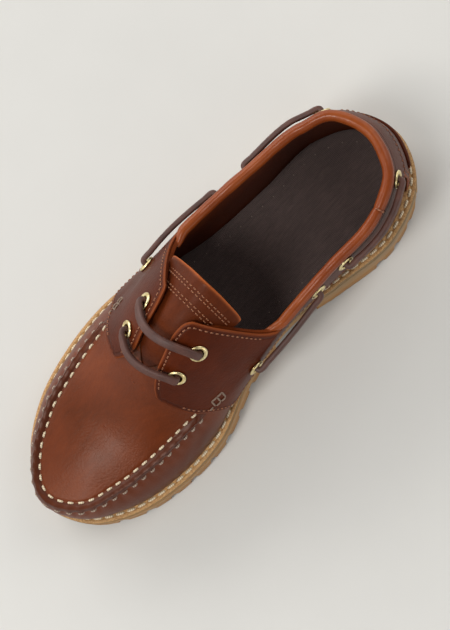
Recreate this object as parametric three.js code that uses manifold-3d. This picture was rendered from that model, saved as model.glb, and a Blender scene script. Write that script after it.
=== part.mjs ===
// A right boat shoe on a lugged rubber sole: apron toe, saddle with two throat eyelets a side,
// four collar eyelets a side, and one rawhide lace.
// Millimetres. +X to the toe, +Y to the inner (big toe) side, +Z up, the ground at 0.
// The last is one surface. The upper, tongue, saddle, heel patch and insole are all cut between
// offsets of it.
import * as THREE from "three";
import { mergeVertices } from "three/addons/utils/BufferGeometryUtils.js";
import Module from "manifold-3d";

const wasm = await Module();
wasm.setup();

// ---------- Driving dimensions ----------
const LENGTH = 300; // heel to toe
const GAP = 0.3; // between pieces that touch
const WALL = 2.2; // upper leather with its lining
const OVERLAY = 1.7; // saddle and heel patch leather
const TONGUE_THICK = 1.8;
const INSOLE_THICK = 4.5;
const MIDSOLE_THICK = 4.2; // its rim is the welt that shows round the upper
const LUG = { depth: 5.8, reach: 19, stand: 1.8, wide: 5.2, narrow: 3.4 }; // stand: outside the sole's edge
const HEEL_POLE = 40; // centre of the round of the heel, from its back
const TOE_POLE = 250; // centre of the round of the toe
const LEAN = { rate: 0.0043, reach: 118 }; // the heel leans forward with the square of its height
const EYELET = { hole: 2.9, barrel: 3.4, rim: 4.8, flange: 0.9, depth: 3.6, seat: 0.5, sides: 9 };
const LACE = { radius: 2.1, lift: 4.4, clear: 1, throatBow: 2, sideBow: 3 };
const SEAM_RIDGE = { radius: 1.9, lift: 0.9 }; // the sewn lip between vamp and apron
const ROLL_RADIUS = 3.1; // padded collar
const HEEL_TAB = { radius: 1.9, z: 51, x: 20 }; // little roll across the heel patch

// Sections round the last. x, y: the sole's edge in plan. lip: from that edge in to the last.
// inside: how far the seam, or the collar behind it, leans in from the foot of the wall.
// rise: its height above the ground. swell: how far the wall bulges between them.
const SECTIONS = [
  { at: "heel back", x: 2, y: 1, lip: 9.6, inside: 0, rise: 106, swell: 0.3 },
  { at: "outer heel", x: 12, y: -24, lip: 9.2, inside: 0.5, rise: 104, swell: 0.8 },
  { at: "outer counter", x: 38, y: -36.5, lip: 7.5, inside: 5, rise: 99, swell: 2 },
  { at: "outer quarter", x: 78, y: -38.5, lip: 7, inside: 1.5, rise: 93, swell: 2 },
  { at: "outer waist", x: 118, y: -42, lip: 7, inside: 0, rise: 82, swell: 2.5 },
  { at: "outer instep", x: 155, y: -50, lip: 6.5, inside: 5.5, rise: 66, swell: 3 },
  { at: "outer joint", x: 192, y: -56, lip: 6.5, inside: 11.5, rise: 54, swell: 3 },
  { at: "outer ball", x: 225, y: -53.5, lip: 6.5, inside: 11.5, rise: 50.5, swell: 3 },
  { at: "little toe", x: 260, y: -43, lip: 6.8, inside: 8.5, rise: 47.5, swell: 3.2 },
  { at: "outer toe", x: 284, y: -26, lip: 7.2, inside: 4.5, rise: 46, swell: 3.6 },
  { at: "toe", x: LENGTH - 1, y: 4, lip: 7.6, inside: 0.5, rise: 45, swell: 4 },
  { at: "inner toe", x: 290, y: 27, lip: 7, inside: 4, rise: 46, swell: 3.6 },
  { at: "big toe", x: 268, y: 42.8, lip: 6.5, inside: 9, rise: 47.5, swell: 3.2 },
  { at: "inner ball", x: 236, y: 51, lip: 6.5, inside: 11.5, rise: 50, swell: 3 },
  { at: "inner joint", x: 203, y: 50.5, lip: 6.5, inside: 10, rise: 53.5, swell: 3 },
  { at: "inner instep", x: 163, y: 37, lip: 6, inside: -5, rise: 64, swell: 2.5 },
  { at: "inner waist", x: 125, y: 32, lip: 6, inside: -7, rise: 80, swell: 2.5 },
  { at: "inner quarter", x: 90, y: 38, lip: 7, inside: 0, rise: 91, swell: 3 },
  { at: "inner counter", x: 48, y: 42.3, lip: 7.2, inside: 5, rise: 98, swell: 2.5 },
  { at: "inner heel", x: 13, y: 26.5, lip: 9, inside: 0.5, rise: 104, swell: 0.8 },
];

// Along the shoe. mid: the centre line in plan. welt: the top of the midsole, on which the upper stands.
// crown: the top of the last, which is the apron in front of 205 and the instep behind it.
// ground: the lowest of the tread. arch: the underside between tread and heel.
const ALONG = [
  { x: 0, mid: 2, welt: 32, crown: 128, ground: 0, arch: 14 },
  { x: 40, mid: 2, welt: 32, crown: 128, ground: 0, arch: 14 },
  { x: 75, mid: 1, welt: 30.2, crown: 126, ground: 0, arch: 13.6 },
  { x: 107, mid: -1.5, welt: 27.2, crown: 122, ground: 4, arch: 10.6 },
  { x: 140, mid: -3, welt: 24.5, crown: 115, ground: 3.2, arch: 8 },
  { x: 160, mid: -3, welt: 23.4, crown: 108, ground: 0.9, arch: 8 },
  { x: 181, mid: -2.4, welt: 22.4, crown: 98, ground: 0, arch: 8 },
  { x: 194, mid: -1.8, welt: 22, crown: 84.5, ground: 0, arch: 8 },
  { x: 206, mid: -1.2, welt: 21.8, crown: 71.5, ground: 0, arch: 8 },
  { x: 222, mid: 0, welt: 21.7, crown: 61, ground: 0, arch: 8 },
  { x: 240, mid: 1.5, welt: 21.8, crown: 53.9, ground: 0, arch: 8 },
  { x: TOE_POLE, mid: 2.5, welt: 22, crown: 52.4, ground: 0.3, arch: 8 },
  { x: 275, mid: 3.6, welt: 22.5, crown: 52.4, ground: 1.6, arch: 8 },
  { x: LENGTH, mid: 5, welt: 23.4, crown: 52.4, ground: 4, arch: 8 },
];

// Lines in the side view: x from the heel, z from the ground.
const COLLAR_LINE = [ // middle of the padded collar
  { x: -30, z: 95.5 }, { x: 28, z: 95.5 }, { x: 54, z: 89.4 }, { x: 75, z: 85.2 },
  { x: 96, z: 81.3 }, { x: 117, z: 77 }, { x: 132, z: 75.8 },
];
const FLAP_BACK = [ // from the collar up the back edge of the flap
  { x: 137, z: 77 }, { x: 142, z: 83 }, { x: 147, z: 91 }, { x: 152, z: 98 },
  { x: 158, z: 104 }, { x: 166, z: 109 }, { x: 176, z: 120 },
];
const SADDLE_FOOT = [ // lower edge of the saddle, then its front edge up to the throat
  { x: -30, z: 74 }, { x: 14, z: 72.3 }, { x: 33, z: 68 }, { x: 75, z: 60 }, { x: 107, z: 53.4 },
  { x: 149, z: 45.5 }, { x: 179, z: 38.5 }, { x: 183, z: 41 }, { x: 189.5, z: 52 },
  { x: 198, z: 60 }, { x: 202, z: 67 }, { x: 205, z: 74 }, { x: 208, z: 84 },
];
const PATCH_FRONT = [
  { x: 26.8, z: 20 }, { x: 26, z: 38 }, { x: 24.4, z: 50 }, { x: 26.5, z: 61 }, { x: 28.6, z: 80 },
];
// Widths in plan, each side of the centre line.
const THROAT_GAP = [ // between the two flaps
  { x: 140, outer: 29, inner: 32 }, { x: 150, outer: 20.5, inner: 20 }, { x: 157, outer: 13, inner: 11.5 },
  { x: 164, outer: 10.5, inner: 6 }, { x: 171, outer: 9, inner: 4.8 }, { x: 183, outer: 8, inner: 6.4 },
  { x: 195, outer: 8.4, inner: 8.6 }, { x: 203, outer: 14, inner: 13.5 }, { x: 210, outer: 24, inner: 24 },
];
const TONGUE_SLOT = [ // hidden opening of the upper below the flaps
  { x: 125, outer: 36, inner: 40 }, { x: 148, outer: 24.5, inner: 24 }, { x: 163, outer: 13, inner: 12 },
  { x: 180, outer: 11, inner: 10.5 }, { x: 190, outer: 8, inner: 8 }, { x: 196, outer: 3, inner: 3 },
];
const TONGUE = [
  { x: 144, outer: 22, inner: 22 }, { x: 147, outer: 24.5, inner: 24.5 }, { x: 170, outer: 19, inner: 19 },
  { x: 190, outer: 13, inner: 13 }, { x: 201, outer: 7, inner: 7 },
];
const BREAST = [ // front of the heel in plan, from the outer side to the inner side
  { x: 78, y: -70 }, { x: 78, y: -30 }, { x: 82, y: -8 },
  { x: 92, y: 12 }, { x: 104, y: 28 }, { x: 106, y: 70 },
];
const THROAT_EYELETS = [
  { at: "front", x: 187, z: 85 },
  { at: "back", x: 171, z: 95 },
];
const COLLAR_EYELETS = [
  { at: "1", x: 157, z: 62.5 },
  { at: "2", x: 104, z: 71.6 },
  { at: "3", x: 83, z: 75.8 },
  { at: "4", x: 35.5, z: 85.2 },
];
const SIDES = [
  { name: "outer", side: -1 },
  { name: "inner", side: 1 },
];

// ---------- Curves ----------
const lerp = THREE.MathUtils.lerp;
const clamp = THREE.MathUtils.clamp;
const smooth = (t) => t * t * (3 - 2 * t);

// A smooth curve of one column through rows placed at knots. loop: the length of a closed ring of rows.
function curve(rows, column, knots, loop) {
  const count = rows.length;
  const value = (i) => rows[(i + count) % count][column];
  const place = (i) => knots[(i + count) % count] + (loop ?? 0) * Math.floor(i / count);
  const slope = (i) => {
    if (!loop && (i === 0 || i === count - 1)) return 0;
    const before = place(i) - place(i - 1);
    const after = place(i + 1) - place(i);
    const fall = (value(i) - value(i - 1)) / before;
    const climb = (value(i + 1) - value(i)) / after;
    return (fall * after + climb * before) / (before + after);
  };
  return (at) => {
    let i = loop ? count - 1 : count - 2;
    while (i > 0 && knots[i] > at) i -= 1;
    const step = place(i + 1) - place(i);
    const t = clamp((at - place(i)) / step, 0, 1);
    const ease = smooth(t);
    const leave = step * slope(i) * t * (1 - t) ** 2;
    const arrive = step * slope(i + 1) * t ** 2 * (t - 1);
    return lerp(value(i), value(i + 1), ease) + leave + arrive;
  };
}

const along = {};
for (const name of ["mid", "welt", "crown", "ground", "arch"]) {
  const onRows = curve(ALONG, name, ALONG.map((row) => row.x));
  along[name] = (x) => onRows(clamp(x, 0, LENGTH));
}
const tread = (x) => Math.max(0, along.ground(x));

const ringKnots = [0];
SECTIONS.forEach((row, i) => {
  const next = SECTIONS[(i + 1) % SECTIONS.length];
  ringKnots.push(ringKnots[i] + Math.hypot(next.x - row.x, next.y - row.y));
});
const RING = ringKnots.pop();
const ring = {};
for (const name of ["x", "y", "lip", "inside", "rise", "swell"]) {
  const onRing = curve(SECTIONS, name, ringKnots, RING);
  ring[name] = (s) => onRing(THREE.MathUtils.euclideanModulo(s, RING));
}

// The sole's edge in plan, moved outwards by out, in equal steps from the back of the heel.
function soleEdge(out, count) {
  const step = RING / count;
  return Array.from({ length: count }, (_, i) => {
    const s = i * step;
    const dx = ring.x(s + 1) - ring.x(s - 1);
    const dy = ring.y(s + 1) - ring.y(s - 1);
    const size = Math.hypot(dx, dy);
    return { s, x: ring.x(s) + (out * dy) / size, y: ring.y(s) - (out * dx) / size };
  });
}
const fineEdge = soleEdge(0, 720);

// Where a ray in plan meets the sole's edge: how far out, and where on the ring.
function meetEdge(origin, direction) {
  const across = (p) => (p.x - origin.x) * direction.y - (p.y - origin.y) * direction.x;
  for (let i = 0; i < fineEdge.length; i += 1) {
    const a = fineEdge[i];
    const b = fineEdge[(i + 1) % fineEdge.length];
    const t = across(a) / (across(a) - across(b));
    const x = lerp(a.x, b.x, t) - origin.x;
    const y = lerp(a.y, b.y, t) - origin.y;
    const reach = x * direction.x + y * direction.y;
    if (across(a) * across(b) <= 0 && reach > 0) return { reach, s: a.s + (t * RING) / fineEdge.length };
  }
  throw new Error("the sole's edge is open");
}

// ---------- The last ----------
// A column is a half plane that stands on the centre line. u runs from the back of the heel to the tip of
// the toe: the columns fan out round the heel pole, run across the shoe between the poles, and fan out
// round the toe pole.
const HEEL_FAN = 50;
const TOE_FAN = 69;
const TOE_START = HEEL_FAN + TOE_POLE - HEEL_POLE;
const U_END = TOE_START + TOE_FAN;
// The apron's fall at the toe pole, which the fan carries on and brings to nothing at the seam.
const toeSlope = along.crown(TOE_POLE) - along.crown(TOE_POLE - 1);
const columns = new Map();
function column(u, side) {
  const key = `${side} ${u.toFixed(4)}`;
  if (!columns.has(key)) {
    const spine = clamp(u, HEEL_FAN, TOE_START) - HEEL_FAN + HEEL_POLE;
    const turn = u < HEEL_FAN ? 2 - u / HEEL_FAN : Math.min(1, (U_END - u) / TOE_FAN);
    const direction = { x: Math.cos((turn * Math.PI) / 2), y: side * Math.sin((turn * Math.PI) / 2) };
    const origin = { x: spine, y: along.mid(spine) };
    const { reach, s } = meetEdge(origin, direction);
    const foot = reach - ring.lip(s);
    const made = { origin, direction, foot, crown: along.crown(spine) };
    made.inside = ring.inside(s);
    made.rise = ring.rise(s);
    made.swell = ring.swell(s);
    made.welt = along.welt(origin.x + direction.x * foot);
    columns.set(key, made);
  }
  return columns.get(key);
}

// A point on the last. v: 0 at the foot of the wall, 1 at the seam or collar, 2 on top over the centre
// line.
function skin(u, side, v) {
  const c = column(u, side);
  const wall = Math.min(v, 1);
  const inward = 2 - Math.max(v, 1);
  const reach = (c.foot - c.inside * wall + 4 * c.swell * wall * (1 - wall)) * inward;
  const fall = u > TOE_START ? toeSlope * c.direction.x * reach * (1 - inward ** 2) : 0;
  const z = fall + (v < 1 ? lerp(c.welt, c.rise, v) : lerp(c.crown, c.rise, inward ** 2));
  const x = c.origin.x + c.direction.x * reach;
  const lean = LEAN.rate * (z - c.welt) ** 2 * smooth(clamp(1 - x / LEAN.reach, 0, 1));
  return new THREE.Vector3(x + lean, c.origin.y + c.direction.y * reach, z);
}

function outward(u, side, v) {
  const forward = skin(Math.min(U_END, u + 0.6), side, v).sub(skin(Math.max(0, u - 0.6), side, v));
  const upward = skin(u, side, Math.min(2, v + 0.03)).sub(skin(u, side, Math.max(0, v - 0.03)));
  return forward.cross(upward).multiplyScalar(-side).normalize();
}
const offset = (u, side, v, out) => skin(u, side, v).addScaledVector(outward(u, side, v), out);

// The number between low and high at which a rising function passes zero.
function solve(rising, low, high) {
  for (let i = 0; i < 24; i += 1) {
    const half = (low + high) / 2;
    if (rising(half) < 0) low = half;
    else high = half;
  }
  return low;
}
const vAtHeight = (u, side, z) => solve((v) => skin(u, side, v).z - z, 0, 2);
// The place on the last at x and z of the side view.
function find(x, z, side) {
  const u = solve((at) => skin(at, side, vAtHeight(at, side, z)).x - x, 0, U_END);
  return { u, side, v: vAtHeight(u, side, z) };
}

// ---------- Solids ----------
function solid(geometry) {
  geometry.deleteAttribute("normal");
  geometry.deleteAttribute("uv");
  const merged = mergeVertices(geometry, 1e-4);
  const mesh = new wasm.Mesh({
    numProp: 3,
    vertProperties: merged.attributes.position.array,
    triVerts: new Uint32Array(merged.index.array),
  });
  return new wasm.Manifold(mesh);
}

function meshed(points, faces) {
  const geometry = new THREE.BufferGeometry().setFromPoints(points);
  geometry.setIndex(faces);
  return solid(geometry);
}

// A shape in plan, upright between two heights.
function upright(points, low, high) {
  const shape = new THREE.Shape(points.map(({ x, y }) => new THREE.Vector2(x, y)));
  const geometry = new THREE.ExtrudeGeometry(shape, { depth: high - low, bevelEnabled: false });
  return solid(geometry.translate(0, 0, low));
}

// A shape in the side view, right across the shoe.
function across(points) {
  const half = 100;
  const shape = new THREE.Shape(points.map(({ x, z }) => new THREE.Vector2(x, z)));
  const geometry = new THREE.ExtrudeGeometry(shape, { depth: 2 * half, bevelEnabled: false });
  return solid(geometry.rotateX(Math.PI / 2).translate(0, half, 0));
}

// What lies between two heights that change along the shoe.
function between(low, high) {
  const stations = Array.from({ length: 34 }, (_, i) => (i - 1.5) * 10);
  const under = stations.map((x) => ({ x, z: low(x) }));
  const over = stations.map((x) => ({ x, z: high(x) }));
  return across([...under, ...over.reverse()]);
}

// A band in plan that follows the centre line.
function midBand(rows, low, high) {
  const outerEdge = rows.map(({ x, outer }) => ({ x, y: along.mid(x) - outer }));
  const innerEdge = rows.map(({ x, inner }) => ({ x, y: along.mid(x) + inner }));
  return upright([...outerEdge, ...innerEdge.reverse()], low, high);
}

// A few more points than the rows give, on a smooth line through them.
function rounded(rows, count) {
  const line = new THREE.SplineCurve(rows.map(({ x, z }) => new THREE.Vector2(x, z)));
  return line.getPoints(count).map((p) => ({ x: p.x, z: p.y }));
}

// A round bar through points.
function bar(points, radius, sides, steps) {
  const extrudePath = new THREE.CatmullRomCurve3(points, false, "centripetal");
  const corners = Array.from({ length: sides }, (_, i) => {
    const turn = (2 * Math.PI * (i + 0.5)) / sides;
    return new THREE.Vector2(radius * Math.cos(turn), radius * Math.sin(turn));
  });
  const shape = new THREE.Shape(corners);
  return solid(new THREE.ExtrudeGeometry(shape, { extrudePath, steps, bevelEnabled: false }));
}

const shoe = new THREE.Group();
function addPiece(name, made, look) {
  const mesh = made.getMesh();
  const geometry = new THREE.BufferGeometry();
  geometry.setAttribute("position", new THREE.BufferAttribute(mesh.vertProperties, 3));
  geometry.setIndex(new THREE.BufferAttribute(mesh.triVerts, 1));
  const piece = new THREE.Mesh(geometry, new THREE.MeshStandardMaterial(look));
  piece.name = name;
  shoe.add(piece);
}

// ---------- Sole ----------
// A block whose edge is the sole's, moved out by a different distance at its foot and its head.
function soleBlock(low, outLow, high, outHigh) {
  const count = 56;
  const foot = soleEdge(outLow, count).map(({ x, y }) => new THREE.Vector3(x, y, low));
  const head = soleEdge(outHigh, count).map(({ x, y }) => new THREE.Vector3(x, y, high));
  const faces = [];
  foot.forEach((_, i) => {
    const next = (i + 1) % count;
    faces.push(i, next, i + count, next, next + count, i + count);
  });
  for (const [a, b, c] of THREE.ShapeUtils.triangulateShape(foot, [])) {
    faces.push(a, c, b, a + count, b + count, c + count);
  }
  return meshed([...foot, ...head], faces);
}

// A groove in the tread from a point in plan, outwards along a direction.
function groove(from, direction, width, length) {
  const box = new THREE.BoxGeometry(length, width, 2 * LUG.depth);
  box.translate(length / 2, 0, tread(from.x) / 2);
  box.rotateZ(Math.atan2(direction.y, direction.x));
  return solid(box.translate(from.x, from.y, 0));
}

const WAIST_FRONT = 139.5; // where the forepart's tread starts
const LUG_PITCH = 15.6;
const TREAD_GROOVES = Array.from({ length: 9 }, (_, i) => ({
  x: 151.5 + LUG_PITCH * i,
  width: i % 2 ? LUG.wide : LUG.narrow,
  through: i % 2 === 1,
}));
const HEEL_GROOVES = Array.from({ length: 4 }, (_, i) => ({
  x: 18.5 + 14.1 * i,
  width: i % 3 ? LUG.narrow : LUG.wide,
  through: i % 3 === 0,
}));
const ROUND_GROOVES = [
  { pole: TOE_POLE + 12, turns: [-28, 28] },
  { pole: HEEL_POLE - 8, turns: [152, 208] },
];

function outsole() {
  const lugTop = LUG.depth + 0.7;
  let sole = soleBlock(-1, LUG.stand, lugTop, LUG.stand - 0.4).add(soleBlock(lugTop - 0.5, 0.8, 40, 0));
  sole = sole.intersect(between(tread, (x) => along.welt(x) - MIDSOLE_THICK - GAP));
  const breast = rounded(BREAST.map(({ x, y }) => ({ x, z: y })), 20).map(({ x, z }) => ({ x, y: z }));
  const waistGap = upright([...breast, { x: WAIST_FRONT, y: 70 }, { x: WAIST_FRONT, y: -70 }], -5, 30);
  sole = sole.subtract(waistGap.intersect(between(() => -5, along.arch)));
  const channel = upright(soleEdge(-LUG.reach, 36), -1, LUG.depth - 1.5)
    .subtract(upright(soleEdge(-LUG.reach - LUG.narrow, 36), -2, LUG.depth));
  sole = sole.subtract(channel.subtract(waistGap));
  for (const { x, width, through } of [...TREAD_GROOVES, ...HEEL_GROOVES]) {
    for (const { side } of SIDES) {
      const direction = { x: 0, y: side };
      const edge = meetEdge({ x, y: along.mid(x) }, direction).reach;
      const start = through ? -1 : edge - LUG.reach;
      const from = { x, y: along.mid(x) + side * start };
      sole = sole.subtract(groove(from, direction, width, edge + 10 - start));
    }
  }
  for (const { pole, turns } of ROUND_GROOVES) {
    for (const turn of turns.map(THREE.MathUtils.degToRad)) {
      const direction = { x: Math.cos(turn), y: Math.sin(turn) };
      const edge = meetEdge({ x: pole, y: along.mid(pole) }, direction).reach;
      const start = edge - LUG.reach;
      const from = { x: pole + direction.x * start, y: along.mid(pole) + direction.y * start };
      sole = sole.subtract(groove(from, direction, LUG.narrow, LUG.reach + 10));
    }
  }
  return sole;
}

const midsoleFoot = (x) => along.welt(x) - MIDSOLE_THICK;
const midsole = soleBlock(10, 0, 40, 0).intersect(between(midsoleFoot, along.welt));

// ---------- Forms of the last ----------
const COLUMN_PLACES = [
  ...Array.from({ length: 5 }, (_, i) => (HEEL_FAN * i) / 5),
  ...Array.from({ length: 15 }, (_, i) => lerp(HEEL_FAN, TOE_START, i / 14)),
  ...Array.from({ length: 6 }, (_, i) => TOE_START + (TOE_FAN * (i + 1)) / 6),
];
const ROWS = [0, 0.3, 0.65, 1, 1.15, 1.38, 1.68];
const DROP = 3; // every form starts this far below the welt

// The whole last as one closed solid, grown by out.
function lastForm(out) {
  const points = [];
  const faces = [];
  const keep = (point) => points.push(point) - 1;
  const spineOf = (u) => clamp(u, HEEL_FAN, TOE_START).toFixed(4);
  const tops = new Map();
  const bottoms = new Map();
  for (const u of COLUMN_PLACES.filter((place) => place >= HEEL_FAN && place <= TOE_START)) {
    const x = u - HEEL_FAN + HEEL_POLE;
    tops.set(spineOf(u), keep(offset(u, 1, 2, out).lerp(offset(u, -1, 2, out), 0.5)));
    bottoms.set(spineOf(u), keep(new THREE.Vector3(x, along.mid(x), along.welt(x) - DROP)));
  }
  const strip = (u, side) => {
    const foot = offset(u, side, 0, out).setZ(column(u, side).welt);
    const sunk = foot.clone().setZ(foot.z - DROP);
    const wall = ROWS.slice(1).map((v) => keep(offset(u, side, v, out)));
    return [bottoms.get(spineOf(u)), keep(sunk), keep(foot), ...wall, tops.get(spineOf(u))];
  };
  const strips = COLUMN_PLACES.map((u) => strip(u, -1));
  strips.push(...COLUMN_PLACES.slice(1, -1).reverse().map((u) => strip(u, 1)));
  strips.forEach((a, i) => {
    const b = strips[(i + 1) % strips.length];
    for (let k = 0; k + 1 < a.length; k += 1) {
      if (a[k] !== b[k]) faces.push(a[k], b[k], a[k + 1]);
      if (a[k + 1] !== b[k + 1]) faces.push(b[k], b[k + 1], a[k + 1]);
    }
  });
  return meshed(points, faces);
}

const saddleInside = WALL + GAP;
const saddleOutside = saddleInside + OVERLAY;
const belowCollar = across([
  ...rounded(COLLAR_LINE, 20), ...rounded(FLAP_BACK, 14),
  { x: 330, z: 120 }, { x: 330, z: 0 }, { x: -30, z: 0 },
]);
const aboveWelt = between((x) => along.welt(x) + GAP, () => 140);
const overlay = lastForm(saddleOutside).subtract(lastForm(saddleInside));

// ---------- Collar ----------
// Runs from flap to flap round the heel, on the middle of the wall and the saddle.
const collarHeight = curve(COLLAR_LINE, "z", COLLAR_LINE.map((row) => row.x));
function collarPoint(u, side) {
  const v = solve((at) => skin(u, side, at).z - collarHeight(skin(u, side, at).x), 0, 2);
  return offset(u, side, v, saddleOutside / 2);
}
const COLLAR_END = HEEL_FAN + 131 - HEEL_POLE;
const collarPlaces = Array.from({ length: 15 }, (_, i) => (COLLAR_END * i) / 14);
const collarPath = [
  ...collarPlaces.slice(1).reverse().map((u) => collarPoint(u, -1)),
  ...collarPlaces.map((u) => collarPoint(u, 1)),
];
const collar = bar(collarPath, ROLL_RADIUS, 8, 24);
const collarSeat = bar(collarPath, ROLL_RADIUS + GAP, 8, 24);

// ---------- Eyelets ----------
function eyeletPlaces() {
  const places = [];
  for (const { name, side } of SIDES) {
    for (const { at, x, z } of THROAT_EYELETS) {
      places.push({ name: `eyelet_throat_${name}_${at}`, ...find(x, z, side) });
    }
    for (const { at, x, z } of COLLAR_EYELETS) {
      places.push({ name: `eyelet_collar_${name}_${at}`, ...find(x, z, side) });
    }
  }
  return places.map((place) => ({
    ...place,
    centre: offset(place.u, place.side, place.v, saddleOutside),
    axis: outward(place.u, place.side, place.v),
  }));
}
const eyelets = eyeletPlaces();
const eyeletNamed = (name) => eyelets.find((place) => place.name === name);

// A turned shape whose axis is an eyelet's.
function turned(profile, { centre, axis }, sides) {
  const geometry = new THREE.LatheGeometry(profile.map(([r, y]) => new THREE.Vector2(r, y)), sides);
  geometry.applyQuaternion(new THREE.Quaternion().setFromUnitVectors(new THREE.Vector3(0, 1, 0), axis));
  return solid(geometry.translate(centre.x, centre.y, centre.z));
}
const { hole, barrel, rim, flange, depth, seat } = EYELET;
const EYELET_PROFILE = [
  [hole, -depth], [barrel, -depth], [barrel, seat], [rim, seat],
  [rim - 0.4, seat + flange], [hole, seat + flange], [hole, -depth],
];
const HOLE_PROFILE = [[0, -8], [barrel + GAP, -8], [barrel + GAP, 4], [0, 4]];

// ---------- Upper and what is sewn on it ----------
function seamRidge() {
  const start = find(196, 53.6, -1).u;
  const places = Array.from({ length: 12 }, (_, i) => lerp(start, U_END, i / 11));
  const lift = WALL + SEAM_RIDGE.lift;
  const path = [
    ...places.map((u) => offset(u, -1, 1, lift)),
    ...places.slice(0, -1).reverse().map((u) => offset(u, 1, 1, lift)),
  ];
  return bar(path, SEAM_RIDGE.radius, 6, 26);
}

let upper = lastForm(WALL).intersect(aboveWelt).intersect(belowCollar).add(seamRidge());
upper = upper.subtract(lastForm(0)).subtract(midBand(TONGUE_SLOT, 60, 140)).subtract(collarSeat);

const saddleShape = across([...SADDLE_FOOT, { x: 208, z: 140 }, { x: -30, z: 140 }]);
let saddle = overlay.intersect(belowCollar).intersect(saddleShape).subtract(midBand(THROAT_GAP, 40, 140));
saddle = saddle.subtract(collarSeat);

for (const place of eyelets) {
  const cut = turned(HOLE_PROFILE, place, EYELET.sides);
  upper = upper.subtract(cut);
  saddle = saddle.subtract(cut);
}

const patchFoot = SADDLE_FOOT.slice(0, 3).map(({ x, z }) => ({ x, z: z - 0.6 }));
const patchBack = [{ x: 29, z: 90 }, { x: -30, z: 90 }, { x: -30, z: 20 }];
const behindFront = across([...rounded(PATCH_FRONT, 8), ...patchBack]);
const belowSaddle = across([...patchFoot, { x: 33, z: 20 }, { x: -30, z: 20 }]);
const patchShape = behindFront.intersect(belowSaddle);
let heelPatch = overlay.intersect(aboveWelt).intersect(patchShape);
const tabEnd = find(HEEL_TAB.x, HEEL_TAB.z, -1).u;
const tabPlaces = [1, 0.66, 0.33].map((part) => tabEnd * part);
const tabPoint = (u, side) => offset(u, side, vAtHeight(u, side, HEEL_TAB.z), saddleOutside);
const tabPath = [
  ...tabPlaces.map((u) => tabPoint(u, -1)),
  tabPoint(0, 1),
  ...tabPlaces.reverse().map((u) => tabPoint(u, 1)),
];
heelPatch = heelPatch.add(bar(tabPath, HEEL_TAB.radius, 6, 10).subtract(lastForm(saddleInside)));

const tongue = lastForm(-GAP).subtract(lastForm(-GAP - TONGUE_THICK)).intersect(midBand(TONGUE, 50, 140));
const insoleFoot = (x) => along.welt(x) + GAP;
const insole = lastForm(-GAP).intersect(between(insoleFoot, (x) => insoleFoot(x) + INSOLE_THICK));

// ---------- Lace ----------
// A point part of the way from one eyelet to another along the leather, which passes over the throat
// where they are on opposite sides, lifted off the saddle.
function onTheWay(from, to, part, lift) {
  const out = saddleOutside + lift;
  const u = lerp(from.u, to.u, part);
  if (from.side === to.side) return offset(u, from.side, lerp(from.v, to.v, part), out);
  const v = lerp(from.v, 4 - to.v, part);
  return v < 2 ? offset(u, from.side, v, out) : offset(u, to.side, 4 - v, out);
}

// A stretch of lace comes out of one eyelet, bows away from the leather and goes down another.
function laceStretch(from, to, bow) {
  const length = from.centre.distanceTo(to.centre);
  const turnDown = (a, b) => [
    a.centre.clone().addScaledVector(a.axis, -1.2),
    a.centre.clone().addScaledVector(a.axis, 2.6),
    onTheWay(a, b, 4 / length, LACE.lift),
  ];
  const middle = [0.3, 0.5, 0.7].map((part) => {
    const lift = LACE.radius + LACE.clear + 4 * bow * part * (1 - part);
    return onTheWay(from, to, part, lift);
  });
  return bar([...turnDown(from, to), ...middle, ...turnDown(to, from).reverse()], LACE.radius, 8, 12);
}

// ---------- The shoe ----------
const LEATHER = { color: 0x6f3c26, roughness: 0.35, metalness: 0 };
const RAWHIDE = { color: 0x4b2d28, roughness: 0.6, metalness: 0 };
const BRASS = { color: 0xd7c382, roughness: 0.3, metalness: 1 };
addPiece("outsole", outsole(), { color: 0xa5733a, roughness: 0.5, metalness: 0 });
addPiece("midsole", midsole, { color: 0xb08a5e, roughness: 0.6, metalness: 0 });
addPiece("insole", insole, { color: 0x2d2624, roughness: 0.7, metalness: 0 });
addPiece("upper", upper, LEATHER);
addPiece("saddle", saddle, LEATHER);
addPiece("heel_patch", heelPatch, LEATHER);
addPiece("collar", collar, { color: 0x7c4224, roughness: 0.4, metalness: 0 });
addPiece("tongue", tongue, LEATHER);
for (const place of eyelets) addPiece(place.name, turned(EYELET_PROFILE, place, EYELET.sides), BRASS);
for (const { at } of THROAT_EYELETS) {
  const from = eyeletNamed(`eyelet_throat_outer_${at}`);
  const to = eyeletNamed(`eyelet_throat_inner_${at}`);
  addPiece(`lace_throat_${at}`, laceStretch(from, to, LACE.throatBow), RAWHIDE);
}
for (const { name } of SIDES) {
  const place = (at) => eyeletNamed(`eyelet_collar_${name}_${at}`);
  addPiece(`lace_${name}_front`, laceStretch(place("1"), place("2"), LACE.sideBow), RAWHIDE);
  addPiece(`lace_${name}_back`, laceStretch(place("3"), place("4"), LACE.sideBow), RAWHIDE);
}

// The origin is under the middle of the shoe, on the ground.
const box = new THREE.Box3().setFromObject(shoe);
shoe.position.set(-(box.min.x + box.max.x) / 2, -(box.min.y + box.max.y) / 2, -box.min.z);

export default shoe;
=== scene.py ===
import math

import bmesh
import bpy
import numpy as np
from mathutils import Matrix, Vector
from mathutils.kdtree import KDTree


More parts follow.
